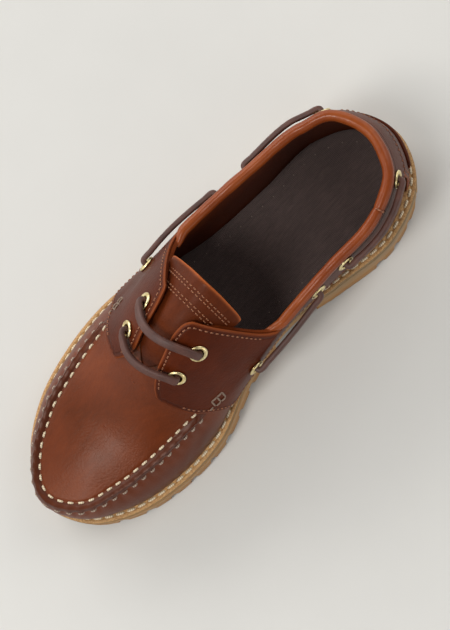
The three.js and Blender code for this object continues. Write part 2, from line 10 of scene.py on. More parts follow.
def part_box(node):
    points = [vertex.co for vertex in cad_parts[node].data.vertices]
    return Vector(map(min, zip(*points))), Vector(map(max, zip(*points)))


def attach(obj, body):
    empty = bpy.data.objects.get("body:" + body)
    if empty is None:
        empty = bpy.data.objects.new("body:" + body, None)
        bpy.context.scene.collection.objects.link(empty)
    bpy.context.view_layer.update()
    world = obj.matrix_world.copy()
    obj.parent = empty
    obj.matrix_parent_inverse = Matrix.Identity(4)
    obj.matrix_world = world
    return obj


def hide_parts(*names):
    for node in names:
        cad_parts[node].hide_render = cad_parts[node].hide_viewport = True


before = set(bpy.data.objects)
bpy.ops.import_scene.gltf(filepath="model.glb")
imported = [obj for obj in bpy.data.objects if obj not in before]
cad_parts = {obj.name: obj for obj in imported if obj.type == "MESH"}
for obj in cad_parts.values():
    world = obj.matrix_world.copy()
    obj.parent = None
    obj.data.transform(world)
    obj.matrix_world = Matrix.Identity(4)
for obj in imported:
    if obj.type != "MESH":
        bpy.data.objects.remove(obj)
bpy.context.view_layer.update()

# ---------- Camera, floor and light ----------
# A right shoe stands on a pale tabletop and is seen from above, over its inner side.
# Pale walls, brighter on the outer side, and soft boxes over the toe, behind and at both sides light it.
CAMERA_PLACE = Vector((0.0046, 0.1218, 0.717))
CAMERA_UP = Vector((-0.720, -0.693, 0.033))
AIM = Vector((-0.003, 0.007, 0.044))
LENS = 69.0

scene = bpy.context.scene
scene.view_settings.view_transform = "Standard"
ahead = (AIM - CAMERA_PLACE).normalized()
right = ahead.cross(CAMERA_UP).normalized()
camera_data = bpy.data.cameras.new("camera")
camera_data.lens = LENS
camera_data.clip_start = 0.01
camera = bpy.data.objects.new("camera", camera_data)
scene.collection.objects.link(camera)
camera.matrix_world = (
    Matrix.Translation(CAMERA_PLACE) @ Matrix((right, right.cross(ahead), -ahead)).transposed().to_4x4()
)
scene.camera = camera


def dye(red, green, blue):
    """The colour that shows as these three numbers on a screen, from 0 to 255."""
    shown = [part / 255 for part in (red, green, blue)]
    return [part / 12.92 if part < 0.04 else ((part + 0.055) / 1.055) ** 2.4 for part in shown] + [1.0]


def add_node(tree, kind, inputs=None, **settings):
    """A shader node with its settings, and its inputs linked to a socket or set to a value."""
    made = tree.nodes.new("ShaderNode" + kind)
    for name, value in settings.items():
        setattr(made, name, value)
    for name, value in (inputs or {}).items():
        socket = made.inputs[name]
        if isinstance(value, bpy.types.NodeSocket):
            tree.links.new(value, socket)
        else:
            socket.default_value = value
    return made


def output(tree, kind, inputs=None, pick=0, **settings):
    """One output of a new shader node: the first, unless another is picked by name."""
    return add_node(tree, kind, inputs, **settings).outputs[pick]


def calculate(tree, operation, *values):
    """A calculation with sockets and numbers."""
    return output(tree, "Math", dict(enumerate(values)), operation=operation)


def noise(tree, scale, detail, place=None, **more):
    """A cloudy figure over the surface."""
    at = {} if place is None else {"Vector": place}
    return output(tree, "TexNoise", {**at, "Scale": scale, "Detail": detail, **more})


def ramp(tree, factor, *stops):
    """A colour for each value of a factor. stops: places from 0 to 1 with their colours, lowest first."""
    made = add_node(tree, "ValToRGB", {"Fac": factor})
    elements = made.color_ramp.elements
    for element, (place, colour) in zip(elements, (stops[0], stops[-1])):
        element.position, element.color = place, colour
    for place, colour in stops[1:-1]:
        elements.new(place).color = colour
    return made.outputs["Color"]


def raised(tree, height, strength, distance):
    """A surface direction bent by a height."""
    return output(tree, "Bump", {"Height": height, "Strength": strength, "Distance": distance})


def new_material(name):
    """An empty material and its node tree."""
    material = bpy.data.materials.new(name)
    material.use_nodes = True
    material.node_tree.nodes.clear()
    return material, material.node_tree


def finish_with(tree, inputs):
    """Ends a material in a principled shader with these inputs."""
    shader = output(tree, "BsdfPrincipled", inputs)
    tree.links.new(shader, add_node(tree, "OutputMaterial").inputs["Surface"])


def lamp(name, place, size, power, colour):
    """A soft box that points at the shoe."""
    data = bpy.data.lights.new(name, "AREA")
    data.shape = "RECTANGLE"
    data.size, data.size_y = size
    data.energy = power
    data.color = colour[:3]
    made = bpy.data.objects.new(name, data)
    made.location = place
    made.rotation_euler = (AIM - Vector(place)).to_track_quat("-Z", "Y").to_euler()
    scene.collection.objects.link(made)


DAYLIGHT = dye(255, 253, 250)
lamp("toe_box", (0.66, 0.02, 1.35), (0.26, 0.5), 9.5, DAYLIGHT)
lamp("heel_box", (-0.95, 0.2, 1.1), (0.6, 0.9), 4.0, DAYLIGHT)
lamp("inner_side_box", (-0.1, 1.4, 0.5), (0.9, 0.25), 2.5, DAYLIGHT)
lamp("outer_side_box", (0.1, -1.3, 0.9), (1.1, 0.5), 7.5, DAYLIGHT)

OUTER_LIGHT, INNER_LIGHT, CEILING_LIGHT = 1.65, 0.5, 0.1
WALLS_TO, CEILING_FROM = 0.45, 0.85
world = bpy.data.worlds.new("studio")
world.use_nodes = True
air = world.node_tree
towards = add_node(air, "SeparateXYZ", {"Vector": output(air, "TexCoord", pick="Generated")}).outputs
walls = output(air, "MapRange", {
    "Value": towards["Y"], "From Min": -0.5, "From Max": 0.5, "To Min": OUTER_LIGHT, "To Max": INNER_LIGHT})
fading = output(air, "MapRange", {
    "Value": towards["Z"], "From Min": WALLS_TO, "From Max": CEILING_FROM,
    "To Min": walls, "To Max": CEILING_LIGHT})
around = air.nodes["Background"]
around.inputs["Color"].default_value = dye(253, 253, 253)
air.links.new(fading, around.inputs["Strength"])
scene.world = world

REACH = 20.0
floor_mesh = bpy.data.meshes.new("tabletop")
floor_mesh.from_pydata([(-REACH, -REACH, 0), (REACH, -REACH, 0), (REACH, REACH, 0), (-REACH, REACH, 0)], [],
                       [(0, 1, 2, 3)])
tabletop = bpy.data.objects.new("tabletop", floor_mesh)
scene.collection.objects.link(tabletop)
paper, tree = new_material("pale_paper")
tooth = noise(tree, 900.0, 3.0)
finish_with(tree, {"Base Color": ramp(tree, tooth, (0, dye(207, 206, 202)), (1, dye(211, 210, 206))),
                   "Roughness": 0.9})
floor_mesh.materials.append(paper)


# ---------- Outsole ----------
# One moulding of translucent gum rubber: a heel block, a waist under the arch, and a forepart, all with
# square lugs round a rim channel. It is glued under the midsole, and its lugs stand a little outside it.
MM = 0.001
LENGTH = 300.0
MIDSOLE_THICK = 4.2
GAP = 0.3
HEEL_POLE = 40.0
TOE_POLE = 250.0
LUG_DEPTH, LUG_REACH, LUG_STAND, LUG_WIDE, LUG_NARROW = 5.8, 19.0, 1.8, 5.2, 3.4
# Grooves across the tread: the first one's place, the distance between them and how many.
FORE_GROOVES, HEEL_GROOVES = (151.5, 15.6, 9), (18.5, 14.1, 4)
# Grooves fanned round both ends: a place before each pole, and two directions in degrees.
FANNED_GROOVES = ((TOE_POLE + 12, (-28, 28)), (HEEL_POLE - 8, (152, 208)))
GROOVE_PAST_EDGE = 10
RIM_ABOVE_LUGS, CHANNEL_STEP = 0.7, 1.5
# How far the rubber's wall stands outside the edge: at the lugs' foot and top, then above them at the
# foot and top.
WALL_STANDS = (LUG_STAND, LUG_STAND - 0.4, 0.8, 0.1)
# Limits that lie outside the shoe on every side, for the blocks that trim it.
BEFORE, BEYOND, ASIDE, WELL_ABOVE = -20, 320, 90, 40
STATIONS = 86
MERGE_WITHIN, THINNER_THAN = 0.02, 0.005
EDGE_COUNT, CHANNEL_COUNT, FINE_COUNT = 300, 120, 720
RUBBER_VOXEL = 1.15 * MM

# Round the last, from the back of the heel along the outer side to the toe and back along the inner side.
# x, y: the sole's edge in plan. lip: from that edge in to the last. inside: how far the seam leans in from
# the foot of the wall. rise: its height. swell: how far the wall bulges.
SECTIONS = {
    "x": [2, 12, 38, 78, 118, 155, 192, 225, 260, 284, 299, 290, 268, 236, 203, 163, 125, 90, 48, 13],
    "y": [1, -24, -36.5, -38.5, -42, -50, -56, -53.5, -43, -26, 4, 27, 42.8, 51, 50.5, 37, 32, 38, 42.3,
          26.5],
    "lip": [9.6, 9.2, 7.5, 7, 7, 6.5, 6.5, 6.5, 6.8, 7.2, 7.6, 7, 6.5, 6.5, 6.5, 6, 6, 7, 7.2, 9],
    "inside": [0, 0.5, 5, 1.5, 0, 5.5, 11.5, 11.5, 8.5, 4.5, 0.5, 4, 9, 11.5, 10, -5, -7, 0, 5, 0.5],
    "rise": [106, 104, 99, 93, 82, 66, 54, 50.5, 47.5, 46, 45, 46, 47.5, 50, 53.5, 64, 80, 91, 98, 104],
    "swell": [0.3, 0.8, 2, 2, 2.5, 3, 3, 3, 3.2, 3.6, 4, 3.6, 3.2, 3, 3, 2.5, 2.5, 3, 2.5, 0.8],
}
# Along the shoe. mid: the centre line in plan. welt: the top of the midsole. crown: the top of the last.
# ground: the lowest of the tread. arch: the underside between tread and heel.
ALONG = {
    "x": [0, 40, 75, 107, 140, 160, 181, 194, 206, 222, 240, 250, 275, 300],
    "mid": [2, 2, 1, -1.5, -3, -3, -2.4, -1.8, -1.2, 0, 1.5, 2.5, 3.6, 5],
    "welt": [32, 32, 30.2, 27.2, 24.5, 23.4, 22.4, 22, 21.8, 21.7, 21.8, 22, 22.5, 23.4],
    "crown": [128, 128, 126, 122, 115, 108, 98, 84.5, 71.5, 61, 53.9, 52.4, 52.4, 52.4],
    "ground": [0, 0, 0, 4, 3.2, 0.9, 0, 0, 0, 0, 0, 0.3, 1.6, 4],
    "arch": [14, 14, 13.6, 10.6, 8, 8, 8, 8, 8, 8, 8, 8, 8, 8],
}
BREAST = {"y": [-70, -30, -8, 12, 28, 70], "x": [78, 78, 82, 92, 104, 106]}
WAIST_FRONT = 139.5


def smooth(part):
    """0 to 1 with a soft start and end."""
    part = np.clip(part, 0, 1)
    return part * part * (3 - 2 * part)


def curve(knots, values, loop=0):
    """A smooth line through values placed at knots. loop: the length of a closed ring."""
    knots = np.array(knots, float)
    values = np.array(values, float)
    if loop:
        knots = np.concatenate([[knots[-1] - loop], knots, [loop, loop + knots[1]]])
        values = np.concatenate([[values[-1]], values, values[:2]])
    step = np.diff(knots)
    climb = np.diff(values) / step
    slope = np.zeros(len(knots))
    slope[1:-1] = (climb[:-1] * step[1:] + climb[1:] * step[:-1]) / (step[:-1] + step[1:])

    def at(place):
        place = np.mod(place, loop) if loop else np.asarray(place, float)
        i = np.clip(np.searchsorted(knots, place, side="right") - 1, 0, len(step) - 1)
        part = np.clip((place - knots[i]) / step[i], 0, 1)
        leave = step[i] * slope[i] * part * (1 - part) ** 2
        arrive = step[i] * slope[i + 1] * part**2 * (part - 1)
        return values[i] + (values[i + 1] - values[i]) * smooth(part) + leave + arrive

    return at


def along_line(name):
    line = curve(ALONG["x"], ALONG[name])
    return lambda x: line(np.clip(x, 0, LENGTH))


mid, welt, crown, ground, arch = map(along_line, ("mid", "welt", "crown", "ground", "arch"))
chords = np.hypot(np.diff(SECTIONS["x"] + SECTIONS["x"][:1]), np.diff(SECTIONS["y"] + SECTIONS["y"][:1]))
ring_knots = np.concatenate([[0], np.cumsum(chords)[:-1]])
RING = chords.sum()
ring = {name: curve(ring_knots, values, RING) for name, values in SECTIONS.items()}


def sole_edge(out, count):
    """The sole's edge in plan, moved outwards, in equal steps from the back of the heel."""
    s = np.arange(count) * RING / count
    dx = ring["x"](s + 1) - ring["x"](s - 1)
    dy = ring["y"](s + 1) - ring["y"](s - 1)
    size = np.hypot(dx, dy)
    return np.stack([ring["x"](s) + out * dy / size, ring["y"](s) - out * dx / size], 1)


outline = sole_edge(LUG_STAND, FINE_COUNT)
sole_low, sole_high = (np.array(corner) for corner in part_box("outsole"))
SHIFT = (sole_low + sole_high)[:2] / 2 / MM - (outline.min(0) + outline.max(0)) / 2


def in_frame(points):
    """Points of the pattern, in millimetres from the heel, as places in the frame."""
    return (np.asarray(points, float) + [SHIFT[0], SHIFT[1], 0]) * MM


def mesh_piece(name, points, faces):
    """A piece whose points are in the pattern's millimetres. Doubled points, and the walls where two
    halves meet, are taken out."""
    mesh = bpy.data.meshes.new(name)
    mesh.from_pydata(in_frame(points).tolist(), [], [list(map(int, face)) for face in faces])
    work = bmesh.new()
    work.from_mesh(mesh)
    bmesh.ops.remove_doubles(work, verts=work.verts, dist=MERGE_WITHIN * MM)
    bmesh.ops.dissolve_degenerate(work, edges=work.edges, dist=THINNER_THAN * MM)
    seen = {}
    for face in work.faces:
        seen.setdefault(frozenset(vertex.index for vertex in face.verts), []).append(face)
    inner_walls = [face for group in seen.values() if len(group) > 1 for face in group]
    bmesh.ops.delete(work, geom=inner_walls, context="FACES")
    bmesh.ops.recalc_face_normals(work, faces=work.faces)
    work.to_mesh(mesh)
    work.free()
    mesh.shade_smooth()
    piece = bpy.data.objects.new(name, mesh)
    scene.collection.objects.link(piece)
    return piece


def block(first_rim, second_rim):
    """A closed block between two rims of as many points."""
    count = len(first_rim)
    faces = [(i, (i + 1) % count, (i + 1) % count + count, i + count) for i in range(count)]
    faces += [tuple(reversed(range(count))), tuple(range(count, 2 * count))]
    return mesh_piece("block", first_rim + second_rim, faces)


def prism(low_outline, low, high_outline, high):
    """A block between two outlines in plan."""
    return block([(x, y, low) for x, y in low_outline], [(x, y, high) for x, y in high_outline])


def side_prism(low_line, high_line):
    """Everything between two heights along the shoe."""
    stations = np.linspace(BEFORE, BEYOND, STATIONS)
    rim = [(x, low_line(x)) for x in stations] + [(x, high_line(x)) for x in stations[::-1]]
    return block([(x, -ASIDE, z) for x, z in rim], [(x, ASIDE, z) for x, z in rim])


def bake_modifiers(piece):
    """The piece's mesh with its modifiers applied."""
    graph = bpy.context.evaluated_depsgraph_get()
    mesh = bpy.data.meshes.new_from_object(piece.evaluated_get(graph))
    piece.modifiers.clear()
    old, piece.data = piece.data, mesh
    bpy.data.meshes.remove(old)


def combine(piece, tool, operation):
    """Joins, cuts or trims a piece with another block, which is used up."""
    step = piece.modifiers.new("cut", "BOOLEAN")
    step.operation = operation
    step.object = tool
    step.solver = "MANIFOLD"
    bake_modifiers(piece)
    bpy.data.objects.remove(tool)


def groove(x, y, direction, width, length):
    """A straight groove in the tread, outwards from a point in plan."""
    cos, sin = math.cos(direction), math.sin(direction)
    ways = np.array([[cos, sin], [-sin, cos]])
    corners = np.array([(0, -width / 2), (length, -width / 2), (length, width / 2), (0, width / 2)]) @ ways
    top = LUG_DEPTH + float(np.maximum(0, ground(x))) / 2
    return prism(corners + [x, y], -3, corners + [x, y], top)


def edge_distance(x, y, direction):
    """How far the sole's edge is from a point in plan, along a direction."""
    way = np.array([math.cos(direction), math.sin(direction)])
    spokes = sole_edge(0, FINE_COUNT) - [x, y]
    turned = np.stack([spokes @ way, spokes @ [-way[1], way[0]]], 1)
    ahead_of = turned[turned[:, 0] > 0]
    return ahead_of[np.argmin(np.abs(ahead_of[:, 1])), 0]


def plan_of_edge(out):
    """The outline of the rubber's wall at a distance outside the sole's edge."""
    return sole_edge(out, EDGE_COUNT)


rim = LUG_DEPTH + RIM_ABOVE_LUGS
low_wall, lug_top, wall_foot, wall_top = map(plan_of_edge, WALL_STANDS)
outsole = prism(low_wall, -1, lug_top, rim)
combine(outsole, prism(wall_foot, rim - 0.5, wall_top, WELL_ABOVE), "UNION")
between_ground_and_board = side_prism(lambda x: max(0, ground(x)), lambda x: welt(x) - MIDSOLE_THICK - GAP)
combine(outsole, between_ground_and_board, "INTERSECT")
breast_x = curve(BREAST["y"], BREAST["x"])
sides = BREAST["y"][0], BREAST["y"][-1]
waist_plan = [(breast_x(y), y) for y in np.linspace(*sides, 40)] + [(WAIST_FRONT, y) for y in sides[::-1]]
waist = prism(waist_plan, -5, waist_plan, 30)
combine(waist, side_prism(lambda x: -5, arch), "INTERSECT")
combine(outsole, waist, "DIFFERENCE")
channel_plan = sole_edge(-LUG_REACH, CHANNEL_COUNT)
channel = prism(channel_plan, -1, channel_plan, LUG_DEPTH - CHANNEL_STEP)
island = sole_edge(-LUG_REACH - LUG_NARROW, CHANNEL_COUNT)
combine(channel, prism(island, -2, island, LUG_DEPTH), "DIFFERENCE")
combine(outsole, channel, "DIFFERENCE")
for (first, pitch, count), through_every, first_through in ((FORE_GROOVES, 2, 1), (HEEL_GROOVES, 3, 0)):
    for i in range(count):
        x = first + pitch * i
        through = i % through_every == first_through
        for direction in (-math.pi / 2, math.pi / 2):
            edge = edge_distance(x, mid(x), direction)
            start = -1 if through else edge - LUG_REACH
            y = mid(x) + math.sin(direction) * start
            width = LUG_WIDE if through else LUG_NARROW
            combine(outsole, groove(x, y, direction, width, edge + GROOVE_PAST_EDGE - start), "DIFFERENCE")
for pole, turns in FANNED_GROOVES:
    for direction in map(math.radians, turns):
        start = edge_distance(pole, mid(pole), direction) - LUG_REACH
        x = pole + math.cos(direction) * start
        y = mid(pole) + math.sin(direction) * start
        combine(outsole, groove(x, y, direction, LUG_NARROW, LUG_REACH + GROOVE_PAST_EDGE), "DIFFERENCE")
outsole.name = "outsole_rubber"
moulded = outsole.modifiers.new("moulded", "REMESH")
moulded.mode = "VOXEL"
moulded.voxel_size = RUBBER_VOXEL
softened = outsole.modifiers.new("softened", "SMOOTH")
softened.factor = 0.5
softened.iterations = 2
bake_modifiers(outsole)
outsole.data.shade_smooth()

outsole.data.materials.clear()
rubber, tree = new_material("gum_rubber")
coords = output(tree, "TexCoord", pick="Object")
height = output(tree, "SeparateXYZ", {"Vector": coords}, pick="Z")
up_the_wall = output(tree, "MapRange", {"Value": height, "From Min": 0.0, "From Max": 0.026})
cloud = calculate(tree, "ADD", noise(tree, 55.0, 4.0, coords), -0.5)
gum = ramp(tree, calculate(tree, "MULTIPLY_ADD", cloud, 0.35, up_the_wall),
           (0.02, dye(142, 96, 46)), (0.35, dye(162, 117, 60)),
           (0.7, dye(150, 113, 64)), (0.95, dye(122, 98, 60)))
speck = noise(tree, 700.0, 2.0, coords)
finish_with(tree, {
    "Base Color": gum,
    "Roughness": output(tree, "MapRange", {"Value": speck, "To Min": 0.42, "To Max": 0.62}),
    "Normal": raised(tree, speck, 0.25, 0.0002),
    "Subsurface Weight": 0.25, "Subsurface Radius": (0.004, 0.0022, 0.0009), "Subsurface Scale": 1.0,
})
outsole.data.materials.append(rubber)
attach(outsole, "root")
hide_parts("outsole")


# ---------- Midsole and welt ----------
# A board of pressed leather between the upper and the rubber. Its rim shows round the upper as the welt,
# and heavy waxed thread sews it down in a cut groove.
GROOVE_IN, GROOVE_COUNT = 3.0, 900
WELT_PITCH, WELT_STITCH, WELT_THREAD = 6.7, 5.3, 1.5
STITCH_SIDES, STITCH_RINGS = 8, 7
# In parts of the thread's thickness: how far a stitch rises and lies sunk, how much its ends taper, and
# how much wider than high it is pulled.
STITCH_RISE, STITCH_SUNK, STITCH_TAPER, STITCH_FLAT = 0.62, 0.3, 0.85, 1.08
WELT_COLUMNS = 440
# Inwards from the edge, and above the welt line.
WELT_PROFILE = [
    (0.35, -4.2), (0.05, -3.9), (0, -3), (0.12, -2.2), (0, -1.4), (0.05, -0.7), (0.3, -0.2), (0.8, 0),
    (1.6, 0.05), (2.1, 0), (2.4, -0.35), (3.0, -0.55), (3.6, -0.35), (3.9, 0), (5, 0.05), (7, 0),
    (12, -0.05), (12.5, -2), (12.5, -4.2),
]


def grid_faces(columns, rows, round_columns, round_rows):
    """Faces of a grid whose points are listed column after column."""
    c, r = np.meshgrid(np.arange(columns if round_columns else columns - 1),
                       np.arange(rows if round_rows else rows - 1), indexing="ij")
    next_c, next_r = (c + 1) % columns, (r + 1) % rows
    corners = [c * rows + r, next_c * rows + r, next_c * rows + next_r, c * rows + next_r]
    return np.stack(corners, -1).reshape(-1, 4)


def wear_slot(piece, slot, *nodes):
    """The piece rides on the shoe and stands for its solids, which it hides. slot: not used."""
    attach(piece, "root")
    if nodes:
        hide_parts(*nodes)


loops = []
for inward, up in WELT_PROFILE:
    plan = sole_edge(-inward, WELT_COLUMNS)
    loops.append(np.column_stack([plan, welt(plan[:, 0]) + up]))
welt_points = np.stack(loops, 1).reshape(-1, 3)
welt_faces = [tuple(face) for face in grid_faces(WELT_COLUMNS, len(WELT_PROFILE), True, True)]
midsole = mesh_piece("midsole_board", welt_points, welt_faces)

board, tree = new_material("leather_board")
coords = output(tree, "TexCoord", pick="Object")
facing_up = output(tree, "SeparateXYZ", {"Vector": output(tree, "NewGeometry", pick="Normal")}, pick="Z")
on_top = output(tree, "MapRange", {"Value": facing_up, "From Min": 0.45, "From Max": 0.8})
long_fibres = output(tree, "Mapping", {"Vector": coords, "Scale": (500.0, 500.0, 2200.0)})
fibres = noise(tree, 1.0, 5.0, long_fibres, Roughness=0.7)
cut_rim = ramp(tree, fibres, (0.3, dye(74, 58, 36)), (0.72, dye(168, 136, 88)))
dyed_top = ramp(tree, noise(tree, 1100.0, 3.0, coords), (0.3, dye(150, 104, 58)), (0.7, dye(202, 160, 104)))
finish_with(tree, {
    "Base Color": output(tree, "MixRGB", {"Fac": on_top, "Color1": cut_rim, "Color2": dyed_top}),
    "Roughness": 0.62, "Normal": raised(tree, fibres, 0.5, 0.0003)})
midsole.data.materials.append(board)
wear_slot(midsole, "welt_leather", "midsole")


def thread_material(name, light, dark):
    """Waxed thread whose strands twist round each stitch."""
    material, tree = new_material(name)
    lie = output(tree, "Attribute", pick="Vector", attribute_name="lie")
    twist = output(tree, "TexWave", {"Vector": lie, "Scale": 0.5, "Distortion": 0.6, "Detail": 1.0},
                   pick="Fac", bands_direction="DIAGONAL")
    shade = calculate(tree, "MULTIPLY", twist, noise(tree, 90.0, 2.0))
    finish_with(tree, {"Base Color": ramp(tree, shade, (0, dark), (0.5, light)), "Roughness": 0.55,
                       "Normal": raised(tree, twist, 0.6, 0.0002)})
    return material


def unit(vectors):
    return vectors / np.linalg.norm(vectors, axis=-1, keepdims=True)


def run_along(path):
    """How far along a path each of its points is."""
    return np.concatenate([[0], np.cumsum(np.linalg.norm(np.diff(path, axis=0), axis=1))])


def sewn(name, rows, thick, material, slot="upper_leather"):
    """Stitches as one mesh. rows: for each row, the points along its stitches and the way the surface
    faces there. Each thread rises out of its first hole and goes down its last."""
    lines, normals = (np.concatenate(both) for both in zip(*rows))
    count, rings = lines.shape[:2]
    part = np.linspace(-1, 1, rings)
    rise = STITCH_RISE * thick * (1 - part**4) - STITCH_SUNK * thick
    radius = 0.5 * thick * np.sqrt(1 - STITCH_TAPER * np.abs(part) ** 5)
    tangent = unit(np.gradient(lines, axis=1))
    beside = unit(np.cross(normals, tangent))
    centre = lines + normals * rise[None, :, None]
    turn = 2 * np.pi * np.arange(STITCH_SIDES) / STITCH_SIDES
    across = beside[:, :, None] * np.cos(turn)[None, None, :, None] * STITCH_FLAT
    over = normals[:, :, None] * np.sin(turn)[None, None, :, None]
    points = centre[:, :, None] + radius[None, :, None, None] * (across + over)
    faces = []
    tube_faces = grid_faces(rings, STITCH_SIDES, False, True)
    for first in range(0, count * rings * STITCH_SIDES, rings * STITCH_SIDES):
        faces += (tube_faces + first).tolist()
        faces.append([first + k for k in reversed(range(STITCH_SIDES))])
        faces.append([first + (rings - 1) * STITCH_SIDES + k for k in range(STITCH_SIDES)])
    piece = mesh_piece(name, points.reshape(-1, 3), faces)
    length = np.linalg.norm(lines[:, -1] - lines[:, 0], axis=1).mean()
    lie = np.zeros((count, rings, STITCH_SIDES, 3))
    lie[..., 0] = (part * length / 2)[None, :, None]
    lie[..., 1] = (turn / (2 * np.pi))[None, None, :]
    if len(piece.data.vertices) == count * rings * STITCH_SIDES:
        layer = piece.data.attributes.new("lie", "FLOAT_VECTOR", "POINT")
        layer.data.foreach_set("vector", lie.ravel())
    piece.data.materials.append(material)
    wear_slot(piece, slot)


def stitches_at(centres, length, run, path, normals):
    """A row of stitches on a path: points along each, and the way the surface faces there."""
    at = centres[:, None] + np.linspace(-length / 2, length / 2, STITCH_RINGS)[None]
    lines = np.stack([np.interp(at, run, values) for values in path.T], -1)
    return lines, unit(np.stack([np.interp(at, run, values) for values in normals.T], -1))


def stitch_row(path, normals, pitch, length, closed=False):
    """A row of stitches spread evenly along a path."""
    if closed:
        path, normals = np.vstack([path, path[:1]]), np.vstack([normals, normals[:1]])
    run = run_along(path)
    count = max(1, round(run[-1] / pitch))
    return stitches_at((np.arange(count) + 0.5) * run[-1] / count, length, run, path, normals)


def facing_upwards(path):
    return np.tile([0.0, 0.0, 1.0], (len(path), 1))


cream_thread = thread_material("cream_waxed_thread", dye(226, 212, 184), dye(186, 166, 134))
plan = sole_edge(-GROOVE_IN, GROOVE_COUNT)
row = np.column_stack([plan, welt(plan[:, 0]) - 0.3])
welt_row = stitch_row(row, facing_upwards(row), WELT_PITCH, WELT_STITCH, closed=True)
sewn("welt_stitches", [welt_row], WELT_THREAD, cream_thread, "welt_leather")


# ---------- Upper ----------
# One shell of oily pull-up leather with its lining, pulled over the last: the vamp wall is gathered by
# hand to the apron, which leaves a raised seam, and the wall goes on round the heel as the quarter.
WALL = 2.2
HEEL_FAN = 50.0
TOE_FAN = 69.0
TOE_START = HEEL_FAN + TOE_POLE - HEEL_POLE
U_END = TOE_START + TOE_FAN
TOE_SLOPE = float(crown(TOE_POLE) - crown(TOE_POLE - 1))
LEAN_RATE, LEAN_REACH = 0.0043, 118.0
SEAM_FROM_X = 196.0
SEAM_PITCH = 6.5
PUCKER, PUCKER_FADES = 0.75, 6.5
# Faint tucks lower down the wall: how high they stand, where they are strongest and how far they reach.
TUCK_HIGH, TUCK_AT, TUCK_REACH = 0.18, 6, 5
APRON_ROW, GATHER_ROW = 2.2, -2.5
RIDGE_HIGH, RIDGE_WIDE, RIDGE_SCALLOP = 2.3, 1.2, 0.14
ROW_SUNK, ROW_SUNK_WIDE = 0.45, 0.9
# Where the apron is pared down under the tongue: from which x, how much, and over what distance.
PARED_FROM, PARED, PARED_OVER, SLOT_HALF = 185, 1.9, 9, 8
COLLAR_LINE = {"x": [-30, 28, 54, 75, 96, 117, 132], "z": [95.5, 95.5, 89.4, 85.2, 81.3, 77, 75.8]}
ROLL_RADIUS = 3.1
FLAP_BACK = {"x": [137, 142, 147, 152, 158, 166, 176], "z": [77, 83, 91, 98, 104, 109, 120]}
TONGUE_SLOT = {"x": [125, 148, 163, 180, 190, 196, 199], "outer": [36, 24.5, 13, 11, 8, 3, 0],
               "inner": [40, 24, 12, 10.5, 8, 3, 0]}
THROAT_EYELETS = {"front": (187, 85), "back": (171, 95)}
COLLAR_EYELETS = {"1": (157, 62.5), "2": (104, 71.6), "3": (83, 75.8), "4": (35.5, 85.2)}
# Creases as soft troughs, and one ridge on each side. Ends in the side view, then width and depth.
CREASES = {
    -1: [((214, 30), (199, 47), 4.5, 0.55), ((228, 28), (216, 42), 5, 0.4),
         ((176, 66), (163, 72), 4.5, 0.5), ((163, 72), (150, 70), 4, 0.6),
         ((150, 58), (128, 62), 6, 0.4), ((140, 40), (160, 36), 7, 0.45),
         ((170, 72), (156, 77), 5, -0.4)],
    1: [((220, 30), (204, 46), 4.5, 0.55), ((232, 29), (222, 41), 5, 0.35),
        ((178, 64), (164, 71), 4.5, 0.55), ((164, 71), (148, 70), 4, 0.5),
        ((138, 44), (118, 50), 7, 0.5), ((172, 71), (158, 76), 5, -0.4)],
}

SEAM_START_HIGH, SEAM_POINTS = 53.6, 400
TONGUE_START, SLOT_END, APRON_START = 196, 199, 195
HALVINGS = 24
fine_u = np.arange(0, U_END + 0.01, 0.25)


def spine_of(u):
    """Where on the centre line a column starts."""
    return np.clip(u, HEEL_FAN, TOE_START) - HEEL_FAN + HEEL_POLE


def direction_of(u, side):
    """The way a column faces in plan."""
    turn = np.where(u < HEEL_FAN, 2 - u / HEEL_FAN, np.minimum(1, (U_END - u) / TOE_FAN)) * np.pi / 2
    return np.cos(turn), side * np.sin(turn)


def column_table(side):
    """What a half plane on the centre line meets, for each place u along one side of the last."""
    edge = sole_edge(0, FINE_COUNT)
    origin = np.stack([spine_of(fine_u), mid(spine_of(fine_u))], 1)
    way_x, way_y = direction_of(fine_u, side)
    spoke_x, spoke_y = edge[None, :, 0] - origin[:, :1], edge[None, :, 1] - origin[:, 1:]
    beside = spoke_x * way_y[:, None] - spoke_y * way_x[:, None]
    out = spoke_x * way_x[:, None] + spoke_y * way_y[:, None]
    after = np.roll(beside, -1, 1)
    part = beside / (beside - after)
    reach = out + (np.roll(out, -1, 1) - out) * part
    hit = np.argmax((beside * after <= 0) & (reach > 0), 1)
    each = np.arange(len(fine_u))
    s = (hit + part[each, hit]) * RING / len(edge)
    foot = reach[each, hit] - ring["lip"](s)
    table = {name: ring[name](s) for name in ("inside", "rise", "swell")}
    table["foot"] = foot
    table["welt"] = welt(origin[:, 0] + way_x * foot)
    return table


tables = {side: column_table(side) for side in (-1, 1)}


def of_column(name, u, side):
    return np.where(side < 0, np.interp(u, fine_u, tables[-1][name]), np.interp(u, fine_u, tables[1][name]))


